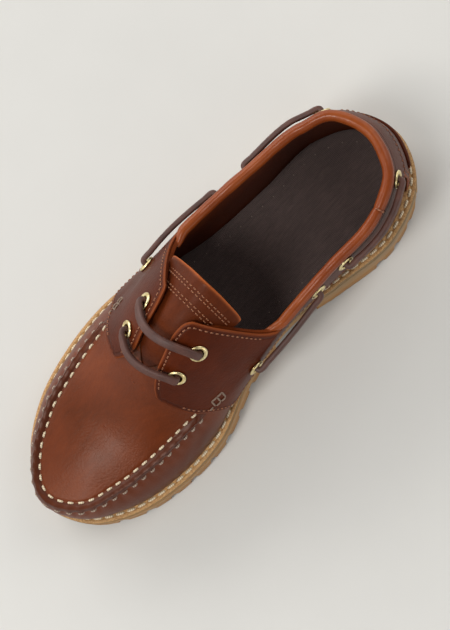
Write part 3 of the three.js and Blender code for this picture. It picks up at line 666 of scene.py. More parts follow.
def last_skin(u, side, v):
    """A point on the last. u: from the back of the heel to the toe's tip. v: 0 at the foot of the wall,
    1 at the seam or collar, 2 on top over the centre line."""
    u, side, v = np.broadcast_arrays(np.asarray(u, float), side, v)
    way_x, way_y = direction_of(u, side)
    spine = spine_of(u)
    wall = np.minimum(v, 1)
    inward = 2 - np.maximum(v, 1)
    foot, rise, start = of_column("foot", u, side), of_column("rise", u, side), of_column("welt", u, side)
    reach = foot - of_column("inside", u, side) * wall + 4 * of_column("swell", u, side) * wall * (1 - wall)
    reach = reach * inward
    top = crown(spine)
    z = np.where(v < 1, start + (rise - start) * v, top + (rise - top) * inward**2)
    z = z + np.where(u > TOE_START, TOE_SLOPE * way_x * reach * (1 - inward**2), 0)
    x = spine + way_x * reach
    lean = LEAN_RATE * (z - start) ** 2 * smooth(1 - x / LEAN_REACH)
    return np.stack([x + lean, mid(spine) + way_y * reach, z], -1)


def outward(u, side, v):
    u, side, v = np.broadcast_arrays(np.asarray(u, float), side, v)
    v = np.where(u > TOE_START, np.minimum(v, 1.97), v)
    forward = last_skin(np.minimum(U_END, u + 0.6), side, v) - last_skin(np.maximum(0, u - 0.6), side, v)
    upward = last_skin(u, side, np.minimum(2, v + 0.03)) - last_skin(u, side, np.maximum(0, v - 0.03))
    return unit(np.cross(forward, upward) * -side[..., None])


def creased(u, side, v):
    """How far the leather stands in or out at its creases."""
    place = last_skin(u, side, v)
    depth = np.zeros(place.shape[:-1])
    for this_side, rows in CREASES.items():
        for (x0, z0), (x1, z1), wide, deep in rows:
            dx, dz = x1 - x0, z1 - z0
            part = np.clip(((place[..., 0] - x0) * dx + (place[..., 2] - z0) * dz) / (dx**2 + dz**2), 0, 1)
            off = np.hypot(place[..., 0] - x0 - part * dx, place[..., 2] - z0 - part * dz)
            ends = 0.35 + 0.65 * np.sin(np.pi * part)
            depth -= np.where(side == this_side, deep * ends * np.exp(-((off / wide) ** 2) * 2), 0)
    return depth


def on_last(u, side, v, out):
    """A point at a distance outside the last."""
    side = np.asarray(side)
    out = np.asarray(out, float) + creased(u, side, v)
    return last_skin(u, side, v) + outward(u, side, v) * out[..., None]


def halve(low, high, is_below):
    """Where a test stops being true between two limits, for each entry."""
    for _ in range(HALVINGS):
        half = (low + high) / 2
        under = is_below(half)
        low, high = np.where(under, half, low), np.where(under, high, half)
    return low


def v_where(rising, u, side):
    """Where up the wall a rising function passes zero, for each column."""
    foot, top = np.zeros(np.shape(u)), np.full(np.shape(u), 2.0)
    return halve(foot, top, lambda v: rising(last_skin(u, side, v)) < 0)


def v_at_line(u, side, line):
    return v_where(lambda place: place[..., 2] - line(place[..., 0]), u, side)


def v_at_width(u, side, width):
    return v_where(lambda place: width(place[..., 0]) - np.abs(place[..., 1] - mid(spine_of(u))), u, side)


def v_at_height(z, u, side):
    return v_where(lambda place: place[..., 2] - z, u, side)


def find(x, z, side):
    """Columns and heights of the places at x and z of the side view."""
    x, z = np.broadcast_arrays(np.asarray(x, float), z)
    u = halve(np.zeros(x.shape), np.full(x.shape, U_END),
              lambda u: last_skin(u, side, v_at_height(z, u, side))[..., 0] < x)
    return u, v_at_height(z, u, side)


def soft_line(xs, zs, radius):
    """A broken line whose corners are rounded off."""
    steps = np.linspace(-radius, radius, 9)
    return lambda x: np.mean([np.interp(np.asarray(x) + step, xs, zs) for step in steps], 0)


collar_height = curve(COLLAR_LINE["x"], COLLAR_LINE["z"])
# The leather's own top edge lies inside the roll, and turns up behind each flap at its front end.
TUCK, TURN_X, TURN_Z = 2.4, 129, 75.6
top_line = soft_line(COLLAR_LINE["x"][:-1] + [TURN_X] + FLAP_BACK["x"],
                     [z - TUCK for z in COLLAR_LINE["z"][:-1] + [TURN_Z]] + FLAP_BACK["z"], 2.0)


def half_widths(table):
    """A half width along the shoe for each side."""
    return {side: curve(table["x"], table[name]) for side, name in ((-1, "outer"), (1, "inner"))}


slot_width = half_widths(TONGUE_SLOT)


def sides_of(outer_count, inner_count):
    """-1 for each column of the outer side, then 1 for each of the inner side."""
    return np.concatenate([-np.ones(outer_count), np.ones(inner_count)])


def round_columns(step):
    """Columns up the outer side and back down the inner side, with the side of each."""
    outer = np.linspace(0, U_END, round(U_END / step) + 1)
    inner = outer[1:-1][::-1]
    return np.concatenate([outer, inner]), sides_of(len(outer), len(inner))


def spans(u, side):
    """The wall's height and the half width of the top, for each column."""
    inside = of_column("inside", u, side)
    wall_up = of_column("rise", u, side) - of_column("welt", u, side)
    return np.hypot(wall_up, inside), of_column("foot", u, side) - inside


seam_start = {side: float(find(SEAM_FROM_X, SEAM_START_HIGH, side)[0]) for side in (-1, 1)}
seam_u = np.concatenate([np.linspace(seam_start[-1], U_END, SEAM_POINTS),
                         np.linspace(U_END, seam_start[1], SEAM_POINTS)[1:]])
seam_side = sides_of(SEAM_POINTS, SEAM_POINTS - 1)
seam_run = run_along(last_skin(seam_u, seam_side, 1.0))
SEAM_COUNT = round(seam_run[-1] / SEAM_PITCH)


def seam_phase(u, side):
    """Where along the seam a column is, in stitches."""
    outer, inner = seam_side < 0, seam_side > 0
    run = np.where(side < 0, np.interp(u, seam_u[outer], seam_run[outer]),
                   np.interp(u, seam_u[inner][::-1], seam_run[inner][::-1]))
    return run / seam_run[-1] * SEAM_COUNT


def vamp_relief(u, side, v):
    """The raised seam, the gathers under it, and the leather that thins where the tongue starts."""
    wall_high, top_wide = spans(u, side)
    off = np.where(v < 1, (v - 1) * wall_high, (v - 1) * top_wide)
    sewn_part = smooth((spine_of(u) - APRON_START) / 6)
    phase = seam_phase(u, side)
    gather = 0.5 - 0.5 * np.cos(2 * np.pi * phase)
    ridge = RIDGE_HIGH * np.exp(-((off / RIDGE_WIDE) ** 2)) * (1 - RIDGE_SCALLOP + RIDGE_SCALLOP * gather)
    trough = -ROW_SUNK * np.exp(-(((off - APRON_ROW) / ROW_SUNK_WIDE) ** 2))
    under = np.clip(-off, 0, None)
    fading = smooth(under / 2.4) * np.exp(-((under / PUCKER_FADES) ** 2))
    bulge = PUCKER * fading * (gather**0.7 * 1.5 - 0.6)
    wander = np.sin(2 * np.pi * phase * 0.5 + 1.7 * np.sin(phase))
    tucks = TUCK_HIGH * smooth(under / 4) * np.exp(-(((under - TUCK_AT) / TUCK_REACH) ** 2)) * wander
    x = last_skin(u, side, v)[..., 0]
    to_slot = np.hypot(np.clip(x - TONGUE_START, 0, None), np.clip(top_wide * (2 - v) - SLOT_HALF, 0, None))
    thin = PARED * (1 - smooth(to_slot / PARED_OVER)) * smooth((v - 1.1) / 0.2)
    return sewn_part * (ridge + trough + bulge + tucks) - np.where(x > PARED_FROM, thin, 0)


u, side = round_columns(0.8)
v_end = v_at_line(u, side, top_line)
in_slot = np.where(side < 0, v_at_width(u, -1, slot_width[-1]), v_at_width(u, 1, slot_width[1]))
v_end = np.where((spine_of(u) < SLOT_END) & (in_slot > 1), np.minimum(v_end, in_slot), v_end)
v_end = np.where(spine_of(u) >= SLOT_END, 2.0, v_end)
wall_high, top_wide = spans(u, side)
# Rows are close together near the seam: from 9 mm below it to 7.2 mm past it.
SEAM_BELOW, SEAM_PAST, SEAM_STEP = 9, 7.2, 0.6
rows = [part * (1 - SEAM_BELOW / wall_high) for part in np.linspace(0, 1, 11)[:-1]]
rows += [1 + off / wall_high for off in np.arange(-SEAM_BELOW, 0.01, SEAM_STEP)]
rows += [1 + off / top_wide for off in np.arange(SEAM_STEP, SEAM_PAST + 0.1, SEAM_STEP)]
rows += [1 + SEAM_PAST / top_wide + part * (1 - SEAM_PAST / top_wide) for part in np.linspace(0, 1, 15)[1:]]
v_outer = np.minimum(np.stack(rows, 1), v_end[:, None])
v_inner = v_end[:, None] * np.linspace(1, 0, 15)[None]
columns_u, columns_side = u[:, None], side[:, None]


def meeting_on_top(v, out):
    """A skin of the upper at a distance outside the last, whose halves meet over the centre line."""
    at_pole = np.where(v > 1.9999, np.minimum(columns_u, TOE_START), columns_u)
    points = on_last(at_pole, columns_side, v, out)
    on_centre = np.abs(v - 2) < 1e-6
    points[..., 1] = np.where(on_centre, mid(spine_of(columns_u)) + 0 * v, points[..., 1])
    return points


outer_skin = meeting_on_top(v_outer, WALL + vamp_relief(columns_u, columns_side, v_outer))
inner_skin = meeting_on_top(v_inner, 0.0)
shell = np.concatenate([outer_skin, inner_skin], 1)
upper = mesh_piece("upper_leather", shell.reshape(-1, 3), grid_faces(len(u), shell.shape[1], True, True))


def eyelet_frames():
    """Each eyelet's place on the last, its centre on the saddle, and its axis, by name."""
    frames = {}
    for side_name, this_side in (("outer", -1), ("inner", 1)):
        for kind, holes in (("throat", THROAT_EYELETS), ("collar", COLLAR_EYELETS)):
            for at, (x, z) in holes.items():
                u, v = find(x, z, this_side)
                place = (float(u), this_side, float(v))
                frames[f"eyelet_{kind}_{side_name}_{at}"] = (
                    *place, on_last(u, this_side, v, SADDLE_OUT), outward(u, this_side, v))
    return frames


def spokes_round(axis, count):
    """Directions square to an axis, all the way round."""
    across = unit(np.cross(axis, [1.0, 0.2, 0.1]))
    turn = 2 * np.pi * np.arange(count) / count
    return np.cos(turn)[:, None] * across + np.sin(turn)[:, None] * np.cross(axis, across)


OVERLAY = 1.7
SADDLE_IN = WALL + GAP
SADDLE_OUT = SADDLE_IN + OVERLAY
EYELET_BARREL = 3.4
LINING_WITHIN = 0.9
eyelets = eyelet_frames()


def punch(piece):
    """Punches the eyelet holes."""
    sides = 20
    points, faces = [], []
    for _, _, _, centre, axis in eyelets.values():
        first = len(points) * 2 * sides
        hole = (EYELET_BARREL + 0.1) * spokes_round(axis, sides)
        points.append(np.concatenate([centre + hole - 9 * axis, centre + hole + 4 * axis]))
        faces += [(first + k, first + (k + 1) % sides, first + sides + (k + 1) % sides, first + sides + k)
                  for k in range(sides)]
        faces += [[first + k for k in reversed(range(sides))], [first + sides + k for k in range(sides)]]
    combine(piece, mesh_piece("punches", np.concatenate(points), faces), "DIFFERENCE")
    piece.data.shade_smooth()
    piece.data.set_sharp_from_angle(angle=math.radians(50))


def search_tree(points):
    """Finds which of many points is nearest."""
    tree = KDTree(len(points))
    for i, place in enumerate(points):
        tree.insert(place, i)
    tree.balance()
    return tree


def mark_distance(piece, name, line):
    """Stores each point's distance from a line, in millimetres, for the leather's colour bands, painted
    shade among them, and its dents.
    """
    tree = search_tree(in_frame(line))
    layer = piece.data.attributes.new(name, "FLOAT", "POINT")
    layer.data.foreach_set("value", [tree.find(vertex.co)[2] / MM for vertex in piece.data.vertices])


punch(upper)
mark_distance(upper, "from_seam", on_last(seam_u, seam_side, 1.0, WALL))
mark_distance(upper, "from_foot", last_skin(u, side, 0.0))


def shader_group(name, inputs, outputs):
    """A node group with number sockets, and the nodes at its two ends."""
    group = bpy.data.node_groups.new(name, "ShaderNodeTree")
    for socket_name, start in inputs:
        socket = group.interface.new_socket(socket_name, in_out="INPUT", socket_type="NodeSocketFloat")
        socket.default_value = start
    for socket_name in outputs:
        group.interface.new_socket(socket_name, in_out="OUTPUT", socket_type="NodeSocketFloat")
    return group, group.nodes.new("NodeGroupInput").outputs, group.nodes.new("NodeGroupOutput").inputs


def grain_group():
    """The figure of oiled leather: a cloudy tone, fine pores and creases, and a finish that varies."""
    group, given, result = shader_group("oiled_grain", [("Gloss", 0.34)], ["Tone", "Grain", "Roughness"])
    coords = output(group, "TexCoord", pick="Object")
    cloud = noise(group, 26.0, 4.0, coords, Roughness=0.55)
    drawn_out = output(group, "Mapping", {"Vector": coords, "Scale": (90.0, 420.0, 420.0)})
    tone = calculate(group, "MULTIPLY_ADD", noise(group, 1.0, 3.0, drawn_out), 0.3, cloud)
    tone = output(group, "MapRange", {"Value": tone, "From Min": 0.3, "From Max": 1.0})
    pores = output(group, "TexVoronoi", {"Vector": coords, "Scale": 900.0}, feature="SMOOTH_F1")
    grain = calculate(group, "MULTIPLY_ADD", noise(group, 2600.0, 2.0, coords), 0.4, pores)
    uneven = calculate(group, "MULTIPLY_ADD", cloud, 0.16, given["Gloss"])
    group.links.new(tone, result["Tone"])
    group.links.new(grain, result["Grain"])
    group.links.new(calculate(group, "MULTIPLY_ADD", grain, 0.06, uneven), result["Roughness"])
    return group


def band_group():
    """A mask that is 1 at a given distance from a marked line, and fades to each side."""
    group, given, result = shader_group(
        "band_beside_line", [("Distance", 0.0), ("Centre", 0.0), ("Width", 1.0)], ["Mask"])
    off = calculate(group, "SUBTRACT", given["Distance"], given["Centre"])
    part = calculate(group, "DIVIDE", off, given["Width"])
    falling = calculate(group, "MULTIPLY", calculate(group, "MULTIPLY", part, part), -1.0)
    group.links.new(calculate(group, "EXPONENT", falling), result["Mask"])
    return group


oiled_grain = grain_group()
band_beside_line = band_group()
# Painted shade: the colour that darkens the leather in seam crevices and stitch grooves, along the foot of
# the wall, over the lower wall and under the collar roll.
PAINTED_SHADE = dye(52, 22, 14)
WARM_SHEEN = (1.0, 0.76, 0.64, 1.0)


def band(tree, line, centre, width, strength):
    """A mask beside a marked line, from its distance attribute, times a strength."""
    distance = output(tree, "Attribute", pick="Fac", attribute_name=line)
    made = tree.nodes.new("ShaderNodeGroup")
    made.node_tree = band_beside_line
    tree.links.new(distance, made.inputs["Distance"])
    made.inputs["Centre"].default_value = centre
    made.inputs["Width"].default_value = width
    return calculate(tree, "MULTIPLY", made.outputs["Mask"], strength)


def leather(name, dark, middle, light, gloss, bands=(), dents=(), coat=0.03, shine=0.27):
    """Oiled leather. bands: a line, distance, width, strength and colour. dents: a line, distance, width
    and depth pressed in by a seam or a raw edge."""
    material, tree = new_material(name)
    figure = tree.nodes.new("ShaderNodeGroup")
    figure.node_tree = oiled_grain
    figure.inputs["Gloss"].default_value = gloss
    colour = ramp(tree, figure.outputs["Tone"], (0, dark), (0.5, middle), (1, light))
    for *place, tint in bands:
        colour = output(tree, "MixRGB", {"Fac": band(tree, *place), "Color1": colour, "Color2": tint})
    height = calculate(tree, "MULTIPLY", figure.outputs["Grain"], 0.12)
    for line, centre, width, depth in dents:
        height = calculate(tree, "ADD", height, band(tree, line, centre, width, -depth))
    finish_with(tree, {
        "Base Color": colour, "Roughness": figure.outputs["Roughness"],
        "Normal": raised(tree, height, 0.8, MM),
        "Specular IOR Level": shine, "Specular Tint": WARM_SHEEN,
        "Coat Weight": coat, "Coat Roughness": 0.2,
    })
    return material


# The bands paint shade: beside the raised seam, in the apron's stitch row, along the foot of the wall where
# it meets the welt, and broadly over the lower wall, which faces away from the light.
vamp_leather = leather(
    "vamp_leather", dye(76, 30, 6), dye(98, 40, 9), dye(117, 52, 15), 0.30,
    bands=[("from_seam", 0.0, 1.9, 0.6, PAINTED_SHADE), ("from_seam", APRON_ROW, 0.5, 0.6, PAINTED_SHADE),
           ("from_foot", 0.0, 3.5, 0.6, PAINTED_SHADE), ("from_foot", 8.0, 14.0, 0.4, PAINTED_SHADE)],
)
lining_leather = leather("lining_leather", dye(58, 30, 17), dye(84, 46, 26), dye(104, 60, 36), 0.52,
                         coat=0.0)


def dress(piece, *materials):
    """Gives a piece its materials in place of any it has."""
    piece.data.materials.clear()
    for material in materials:
        piece.data.materials.append(material)


dress(upper, vamp_leather, lining_leather)
inner_side = search_tree(in_frame(inner_skin.reshape(-1, 3)))
for face in upper.data.polygons:
    face.material_index = 1 if inner_side.find(face.center)[2] < LINING_WITHIN * MM else 0
wear_slot(upper, "upper_leather", "upper")


def seam_stitches(off, length):
    """Stitches a few millimetres from the seam, on the apron for a positive distance and on the wall for a
    negative one. They keep the seam's own pitch, so that both rows and the gathers stay in step."""
    wall_high, top_wide = spans(seam_u, seam_side)
    v = 1 + off / (top_wide if off > 0 else wall_high)
    path = on_last(seam_u, seam_side, v, WALL + vamp_relief(seam_u, seam_side, v))
    centres = (np.arange(SEAM_COUNT) + 0.5) / SEAM_COUNT * seam_run[-1]
    return stitches_at(centres, length, seam_run, path, outward(seam_u, seam_side, v))


dull_thread = thread_material("dull_waxed_thread", dye(174, 156, 138), dye(124, 102, 86))
sewn("apron_stitches", [seam_stitches(APRON_ROW, 4.1)], 1.3, cream_thread)
sewn("gather_stitches", [seam_stitches(GATHER_ROW, 3.6)], 1.2, dull_thread)


# ---------- Insole ----------
# A foam footbed covered with dark woven cloth, laid loose in the shoe. A row of small tacks shows
# inside its edge.
INSOLE_THICK = 4.5
TACK_IN, TACK_PITCH, TACK_LONG, TACK_THICK = 7.0, 8.6, 0.9, 0.7
TACKS_TO_X = 175
BED_HOLLOW, EDGE_ROUND = 0.9, 0.9


def bed(x):
    return welt(x) + GAP + INSOLE_THICK


u, side = round_columns(2.0)
v_bed = v_at_line(u, side, bed)
edge = last_skin(u, side, v_bed) - 0.6 * outward(u, side, v_bed)
centre = np.stack([spine_of(u), mid(spine_of(u)), edge[:, 2]], 1)
parts = np.array([0, 0.2, 0.4, 0.6, 0.75, 0.86, 0.93, 0.97, 0.99, 1.0])
top = centre[:, None] + (edge - centre)[:, None] * parts[None, :, None]
top[..., 2] = bed(top[..., 0]) - BED_HOLLOW * (1 - parts**3) - EDGE_ROUND * smooth((parts - 0.96) / 0.04)
under = top[:, ::-1].copy()
under[..., 2] = welt(under[..., 0]) + GAP
bed_points = np.concatenate([top, under], 1)
bed_faces = grid_faces(len(u), bed_points.shape[1], True, True)
insole = mesh_piece("insole_footbed", bed_points.reshape(-1, 3), bed_faces)
insole.data.set_sharp_from_angle(angle=math.radians(60))

cloth, tree = new_material("woven_insole_cloth")
coords = output(tree, "TexCoord", pick="Object")
yarns = [output(tree, "TexWave", {"Vector": coords, "Scale": 330.0, "Distortion": 1.2, "Detail": 1.0,
                                  "Detail Scale": 2.0}, pick="Fac", bands_direction=way) for way in "XY"]
weave = calculate(tree, "MULTIPLY", *yarns)
slub = output(tree, "Mapping", {"Vector": coords, "Scale": (160.0, 900.0, 160.0)})
worn = calculate(tree, "MULTIPLY", noise(tree, 30.0, 5.0, coords), noise(tree, 1.0, 3.0, slub))
shade = calculate(tree, "MULTIPLY_ADD", weave, 0.3, worn)
finish_with(tree, {
    "Base Color": ramp(tree, shade, (0, dye(48, 37, 35)), (0.75, dye(96, 79, 75))), "Roughness": 0.85,
    "Normal": raised(tree, weave, 0.6, 0.0004), "Sheen Weight": 0.15, "Sheen Roughness": 0.5})
insole.data.materials.append(cloth)
wear_slot(insole, "insole_cloth", "insole")

reach = np.linalg.norm(edge - centre, axis=1, keepdims=True)
tack_row = centre + (edge - centre) * (1 - TACK_IN / reach)
tack_row[:, 2] = bed(tack_row[:, 0]) - 0.55
tack_part = tack_row[tack_row[:, 0] < TACKS_TO_X]
front = int(np.argmax(np.linalg.norm(np.diff(tack_part, axis=0), axis=1))) + 1
tack_part = np.roll(tack_part, -front, axis=0)
tacks = stitch_row(tack_part, facing_upwards(tack_part), TACK_PITCH, TACK_LONG)
tack_thread = thread_material("tack_thread", dye(140, 124, 112), dye(96, 82, 74))
sewn("insole_tacks", [tacks], TACK_THICK, tack_thread, "insole_cloth")


# ---------- Tongue ----------
# The apron's own leather runs on under the lace as a short tongue. Its back edge is cut raw, and two
# double rows of stitching cross it.
TONGUE_THICK = 1.8
TONGUE = {"x": [143, 147, 170, 190, 201], "half": [24, 24.5, 19, 13, 7]}
TONGUE_CORNER, TONGUE_CURL, TONGUE_WAVE = 1.2, 2.6, 0.5
# The x up to which the free end rounds off, curls and waves, and the most it stands up where it is free.
CORNER_TO, CURL_TO, WAVE_TO, FREE_TO, FREE_LIFT = 160, 153, 152, 150, 3.0
TONGUE_ROWS = (149.3, 151.2, 156.2, 158.1)
TONGUE_PITCH, TONGUE_STITCH, TONGUE_THREAD = 3.0, 2.1, 0.75


def slab(name, outer, inner):
    """A closed sheet of leather between two grids of points."""
    columns, rows = outer.shape[:2]
    face = grid_faces(columns, rows, False, False)
    back = face[:, ::-1] + columns * rows
    rim = [c * rows for c in range(columns)] + [(columns - 1) * rows + r for r in range(1, rows)]
    rim += [c * rows + rows - 1 for c in reversed(range(columns - 1))] + list(reversed(range(1, rows - 1)))
    count = columns * rows
    edge = [(rim[i - 1], rim[i], rim[i] + count, rim[i - 1] + count) for i in range(len(rim))]
    points = np.concatenate([outer.reshape(-1, 3), inner.reshape(-1, 3)])
    piece = mesh_piece(name, points, face.tolist() + back.tolist() + edge)
    piece.data.set_sharp_from_angle(angle=math.radians(50))
    return piece


def border(grid):
    """The points round the edge of a grid."""
    return np.concatenate([grid[:, 0], grid[-1, 1:], grid[-2::-1, -1], grid[0, -2:0:-1]])


def rounded_off(grid, radius, drop):
    """How far the cut edge of a sheet is rounded off at each of its points."""
    tree = search_tree(border(grid))
    gap = np.array([tree.find(place)[2] for place in grid.reshape(-1, 3)]).reshape(grid.shape[:2])
    return drop * (1 - smooth(gap / radius))


def spread(count):
    """Parts from 0 to 1, closer together at both ends."""
    return 0.5 - 0.5 * np.cos(np.pi * np.linspace(0, 1, count))


tongue_half = curve(TONGUE["x"], TONGUE["half"])


def tongue_place(x, part):
    """Column, side and height of a place on the tongue. part: -1 at its outer edge, 1 at its inner edge."""
    across = part * tongue_half(x)
    side = np.where(across < 0, -1.0, 1.0)
    u = x - HEEL_POLE + HEEL_FAN
    return u, side, 2 - np.abs(across) / spans(u, side)[1]


x = TONGUE["x"][0] + (TONGUE["x"][-1] - TONGUE["x"][0]) * spread(60)[:, None]
part = (2 * spread(49) - 1)[None]
x, part = np.broadcast_arrays(x, part)
corner = 1 - np.sqrt(np.clip(1 - np.clip((np.abs(part) - 0.84) / 0.16, 0, 1) ** 2, 0, 1))
x = x + corner * TONGUE_CORNER * smooth((CORNER_TO - x) / 16)
u, side, v = tongue_place(x, part)
curl = TONGUE_CURL * smooth((np.abs(part) - 0.45) / 0.55) * smooth((CURL_TO - x) / 10)
curl = curl * np.where(part < 0, 1.0, 0.7)
wave_back = TONGUE_WAVE * np.cos(part * 5) * smooth((WAVE_TO - x) / 8)
flat_sheet = on_last(u, side, v, -GAP)
edge_round = rounded_off(flat_sheet, 1.2, 0.5)
lift = np.minimum(curl + wave_back, np.where(x < FREE_TO, FREE_LIFT, 0.0) + curl)
tongue = slab("tongue_leather_painted_shade", on_last(u, side, v, -GAP - edge_round + lift),
              on_last(u, side, v, -GAP - TONGUE_THICK + lift))
back_edge = on_last(u[0], side[0], v[0], -GAP - TONGUE_THICK / 2 + lift[0])
mark_distance(tongue, "from_edge", back_edge)

RAW_EDGE = dye(176, 92, 44)
# Darker than the vamp leather it is cut from: painted shade where the tongue lies under the lace and the
# flaps. Its raw back edge is its own colour.
tongue_leather_painted_shade = leather("tongue_leather_painted_shade", dye(60, 22, 5), dye(81, 32, 9), dye(103, 45, 15), 0.38,
                         bands=[("from_edge", 0.0, 1.1, 0.9, RAW_EDGE)], shine=0.15)
tongue.data.materials.append(tongue_leather_painted_shade)
wear_slot(tongue, "upper_leather", "tongue")
brown_thread = thread_material("brown_thread", dye(158, 100, 64), dye(98, 54, 33))
rows = []
for row_x in TONGUE_ROWS:
    u, side, v = tongue_place(np.full(90, row_x), np.linspace(-0.9, 0.9, 90))
    path = on_last(u, side, v, -GAP + 0.05)
    rows.append(stitch_row(path, outward(u, side, v), TONGUE_PITCH, TONGUE_STITCH))
sewn("tongue_stitches", rows, TONGUE_THREAD, brown_thread)


# ---------- Saddle ----------
# A second layer of leather round the heel and over the instep, cut in one with the two lace flaps. It is
# edge-stitched in brown, with raw edges, and a ladder of waxed thread ties it down over each seam end.
SADDLE_FOOT = {"x": [-30, 14, 33, 75, 107, 149, 179, 183, 189.5, 198, 202, 205, 208],
               "z": [74, 72.3, 68, 60, 53.4, 45.5, 38.5, 41, 52, 60, 67, 74, 84]}
THROAT_GAP = {"x": [140, 150, 157, 164, 171, 183, 195, 203, 210],
              "outer": [29, 20.5, 13, 10.5, 9, 8, 8.4, 14, 24],
              "inner": [32, 20, 11.5, 6, 4.8, 6.4, 8.6, 13.5, 24]}
EDGE_ROW, EDGE_PITCH, EDGE_STITCH, EDGE_THREAD = 2.8, 3.1, 2.2, 0.8
FLAPS_FROM_X, FLAP_ROW_FROM_X = 138, 140
FOOT_ROW_SHORT, FLAP_ROW_SHORT = 2.5, 3
LADDER = {-1: ((187.5, 56.0), (180.0, 58.0)), 1: ((186.5, 57.0), (179.0, 59.0))}
LADDER_HIGH, LADDER_STEPS, LADDER_THREAD, RUNG_LEAN = 5.2, 2, 1.0, 0.6

saddle_foot = soft_line(SADDLE_FOOT["x"], SADDLE_FOOT["z"], 1.6)
throat_gap = half_widths(THROAT_GAP)


def saddle_limits(u, this_side):
    """Lower and upper edge of the saddle in each column."""
    low = v_at_line(u, this_side, saddle_foot)
    high = v_at_line(u, this_side, top_line)
    at_throat = v_at_width(u, this_side, throat_gap[this_side])
    high = np.where(spine_of(u) > FLAPS_FROM_X, np.minimum(high, at_throat), high)
    return low, high


def flap_tip(this_side):
    u = np.arange(TOE_START - 60, TOE_START - 30, 0.05)
    low, high = saddle_limits(u, this_side)
    return float(u[np.argmax(low >= high)])


HALF_COLUMNS = 300
halves = {}
for this_side in (-1, 1):
    u = np.linspace(0, flap_tip(this_side), HALF_COLUMNS)
    halves[this_side] = (u, *saddle_limits(u, this_side))
u, low, high = (np.concatenate([outer[::-1], inner[1:]]) for outer, inner in zip(halves[-1], halves[1]))
side = sides_of(HALF_COLUMNS, HALF_COLUMNS - 1)
rows = spread(40)[None]
v = low[:, None] + np.maximum(high - low, 0)[:, None] * rows
saddle_u, saddle_side = np.broadcast_arrays(u[:, None], side[:, None] + 0 * v)
flat_sheet = on_last(saddle_u, saddle_side, v, SADDLE_OUT)
edge_round = rounded_off(flat_sheet, 1.3, 0.75)
saddle = slab("saddle_leather", on_last(saddle_u, saddle_side, v, SADDLE_OUT - edge_round),
              on_last(saddle_u, saddle_side, v, SADDLE_IN))
saddle_edge = np.concatenate([border(flat_sheet), on_last(u, side, low, SADDLE_IN + 0.4)])
punch(saddle)
mark_distance(saddle, "from_edge", saddle_edge)
# The second band paints shade in the groove of the edge stitching. The first band is the raw edge's own
# colour.
saddle_leather = leather(
    "saddle_leather", dye(54, 16, 2), dye(74, 24, 3), dye(96, 37, 8), 0.33,
    bands=[("from_edge", 0.0, 0.75, 0.9, RAW_EDGE), ("from_edge", EDGE_ROW, 0.7, 0.5, PAINTED_SHADE)],
    dents=[("from_edge", EDGE_ROW, 0.6, 0.35)], shine=0.15,
)
dress(saddle, saddle_leather)
wear_slot(saddle, "upper_leather", "saddle")


def inset_row(u, side, v, out, upwards):
    """A row of stitches along a cut edge, a little inside it."""
    facing = outward(u, side, v)
    start = on_last(u, side, v, out)
    beside = unit(np.cross(facing, np.gradient(start, axis=0)))
    up_wall = last_skin(u, side, v + 0.01) - last_skin(u, side, v - 0.01)
    towards = np.sign(np.sum(beside * up_wall, -1, keepdims=True)) * (1 if upwards else -1)
    aim = start + beside * towards * EDGE_ROW
    for _ in range(4):
        here = on_last(u, side, v, out)
        along_u = (on_last(u + 0.3, side, v, out) - here) / 0.3
        along_v = (on_last(u, side, v + 0.005, out) - here) / 0.005
        slopes = np.stack([along_u, along_v], -1)
        square = np.einsum("nij,nik->njk", slopes, slopes) + np.eye(2) * 1e-6
        move = np.linalg.solve(square, np.einsum("nij,ni->nj", slopes, aim - here)[..., None])[..., 0]
        u = np.clip(u + move[:, 0], 0, U_END)
        v = np.clip(v + move[:, 1], 0.01, 1.99)
    return stitch_row(on_last(u, side, v, out), outward(u, side, v), EDGE_PITCH, EDGE_STITCH)


clear_of_tip = spine_of(u) < spine_of(u).max() - FOOT_ROW_SHORT
rows = [inset_row(u[clear_of_tip], side[clear_of_tip], low[clear_of_tip], SADDLE_OUT - 0.15, True)]
for this_side, (u_side, _, high_side) in halves.items():
    spine = spine_of(u_side)
    flap = (spine > FLAP_ROW_FROM_X) & (spine < spine.max() - FLAP_ROW_SHORT)
    on_side = np.full(flap.sum(), float(this_side))
    rows.append(inset_row(u_side[flap], on_side, high_side[flap], SADDLE_OUT - 0.15, False))
sewn("saddle_stitches", rows, EDGE_THREAD, brown_thread)


def bars_on(places, out):
    """Single stitches between pairs of places in the side view."""
    lines, facing = [], []
    for this_side, start, end in places:
        part = np.linspace(0, 1, STITCH_RINGS)
        x = start[0] + (end[0] - start[0]) * part
        z = start[1] + (end[1] - start[1]) * part
        u, v = find(x, z, this_side)
        lines.append(on_last(u, this_side, v, out))
        facing.append(outward(u, this_side, v))
    return np.array(lines), np.array(facing)


rungs = []
for this_side, (front, back) in LADDER.items():
    rungs.append((this_side, (front[0] + 4.2, front[1] - 0.4), (front[0] + 1.2, front[1] + 0.6)))
    step_x, step_z = (back[0] - front[0]) / LADDER_STEPS, (back[1] - front[1]) / LADDER_STEPS
    for step in range(LADDER_STEPS + 1):
        x, z = front[0] + step_x * step, front[1] + step_z * step
        rungs.append((this_side, (x, z), (x - RUNG_LEAN, z + LADDER_HIGH)))
        if step < LADDER_STEPS:
            for lean, up in ((0, 0), (RUNG_LEAN, LADDER_HIGH)):
                rungs.append((this_side, (x - lean, z + up), (x + step_x - lean, z + step_z + up)))
sewn("seam_end_ladders", [bars_on(rungs, SADDLE_OUT)], LADDER_THREAD, dull_thread)


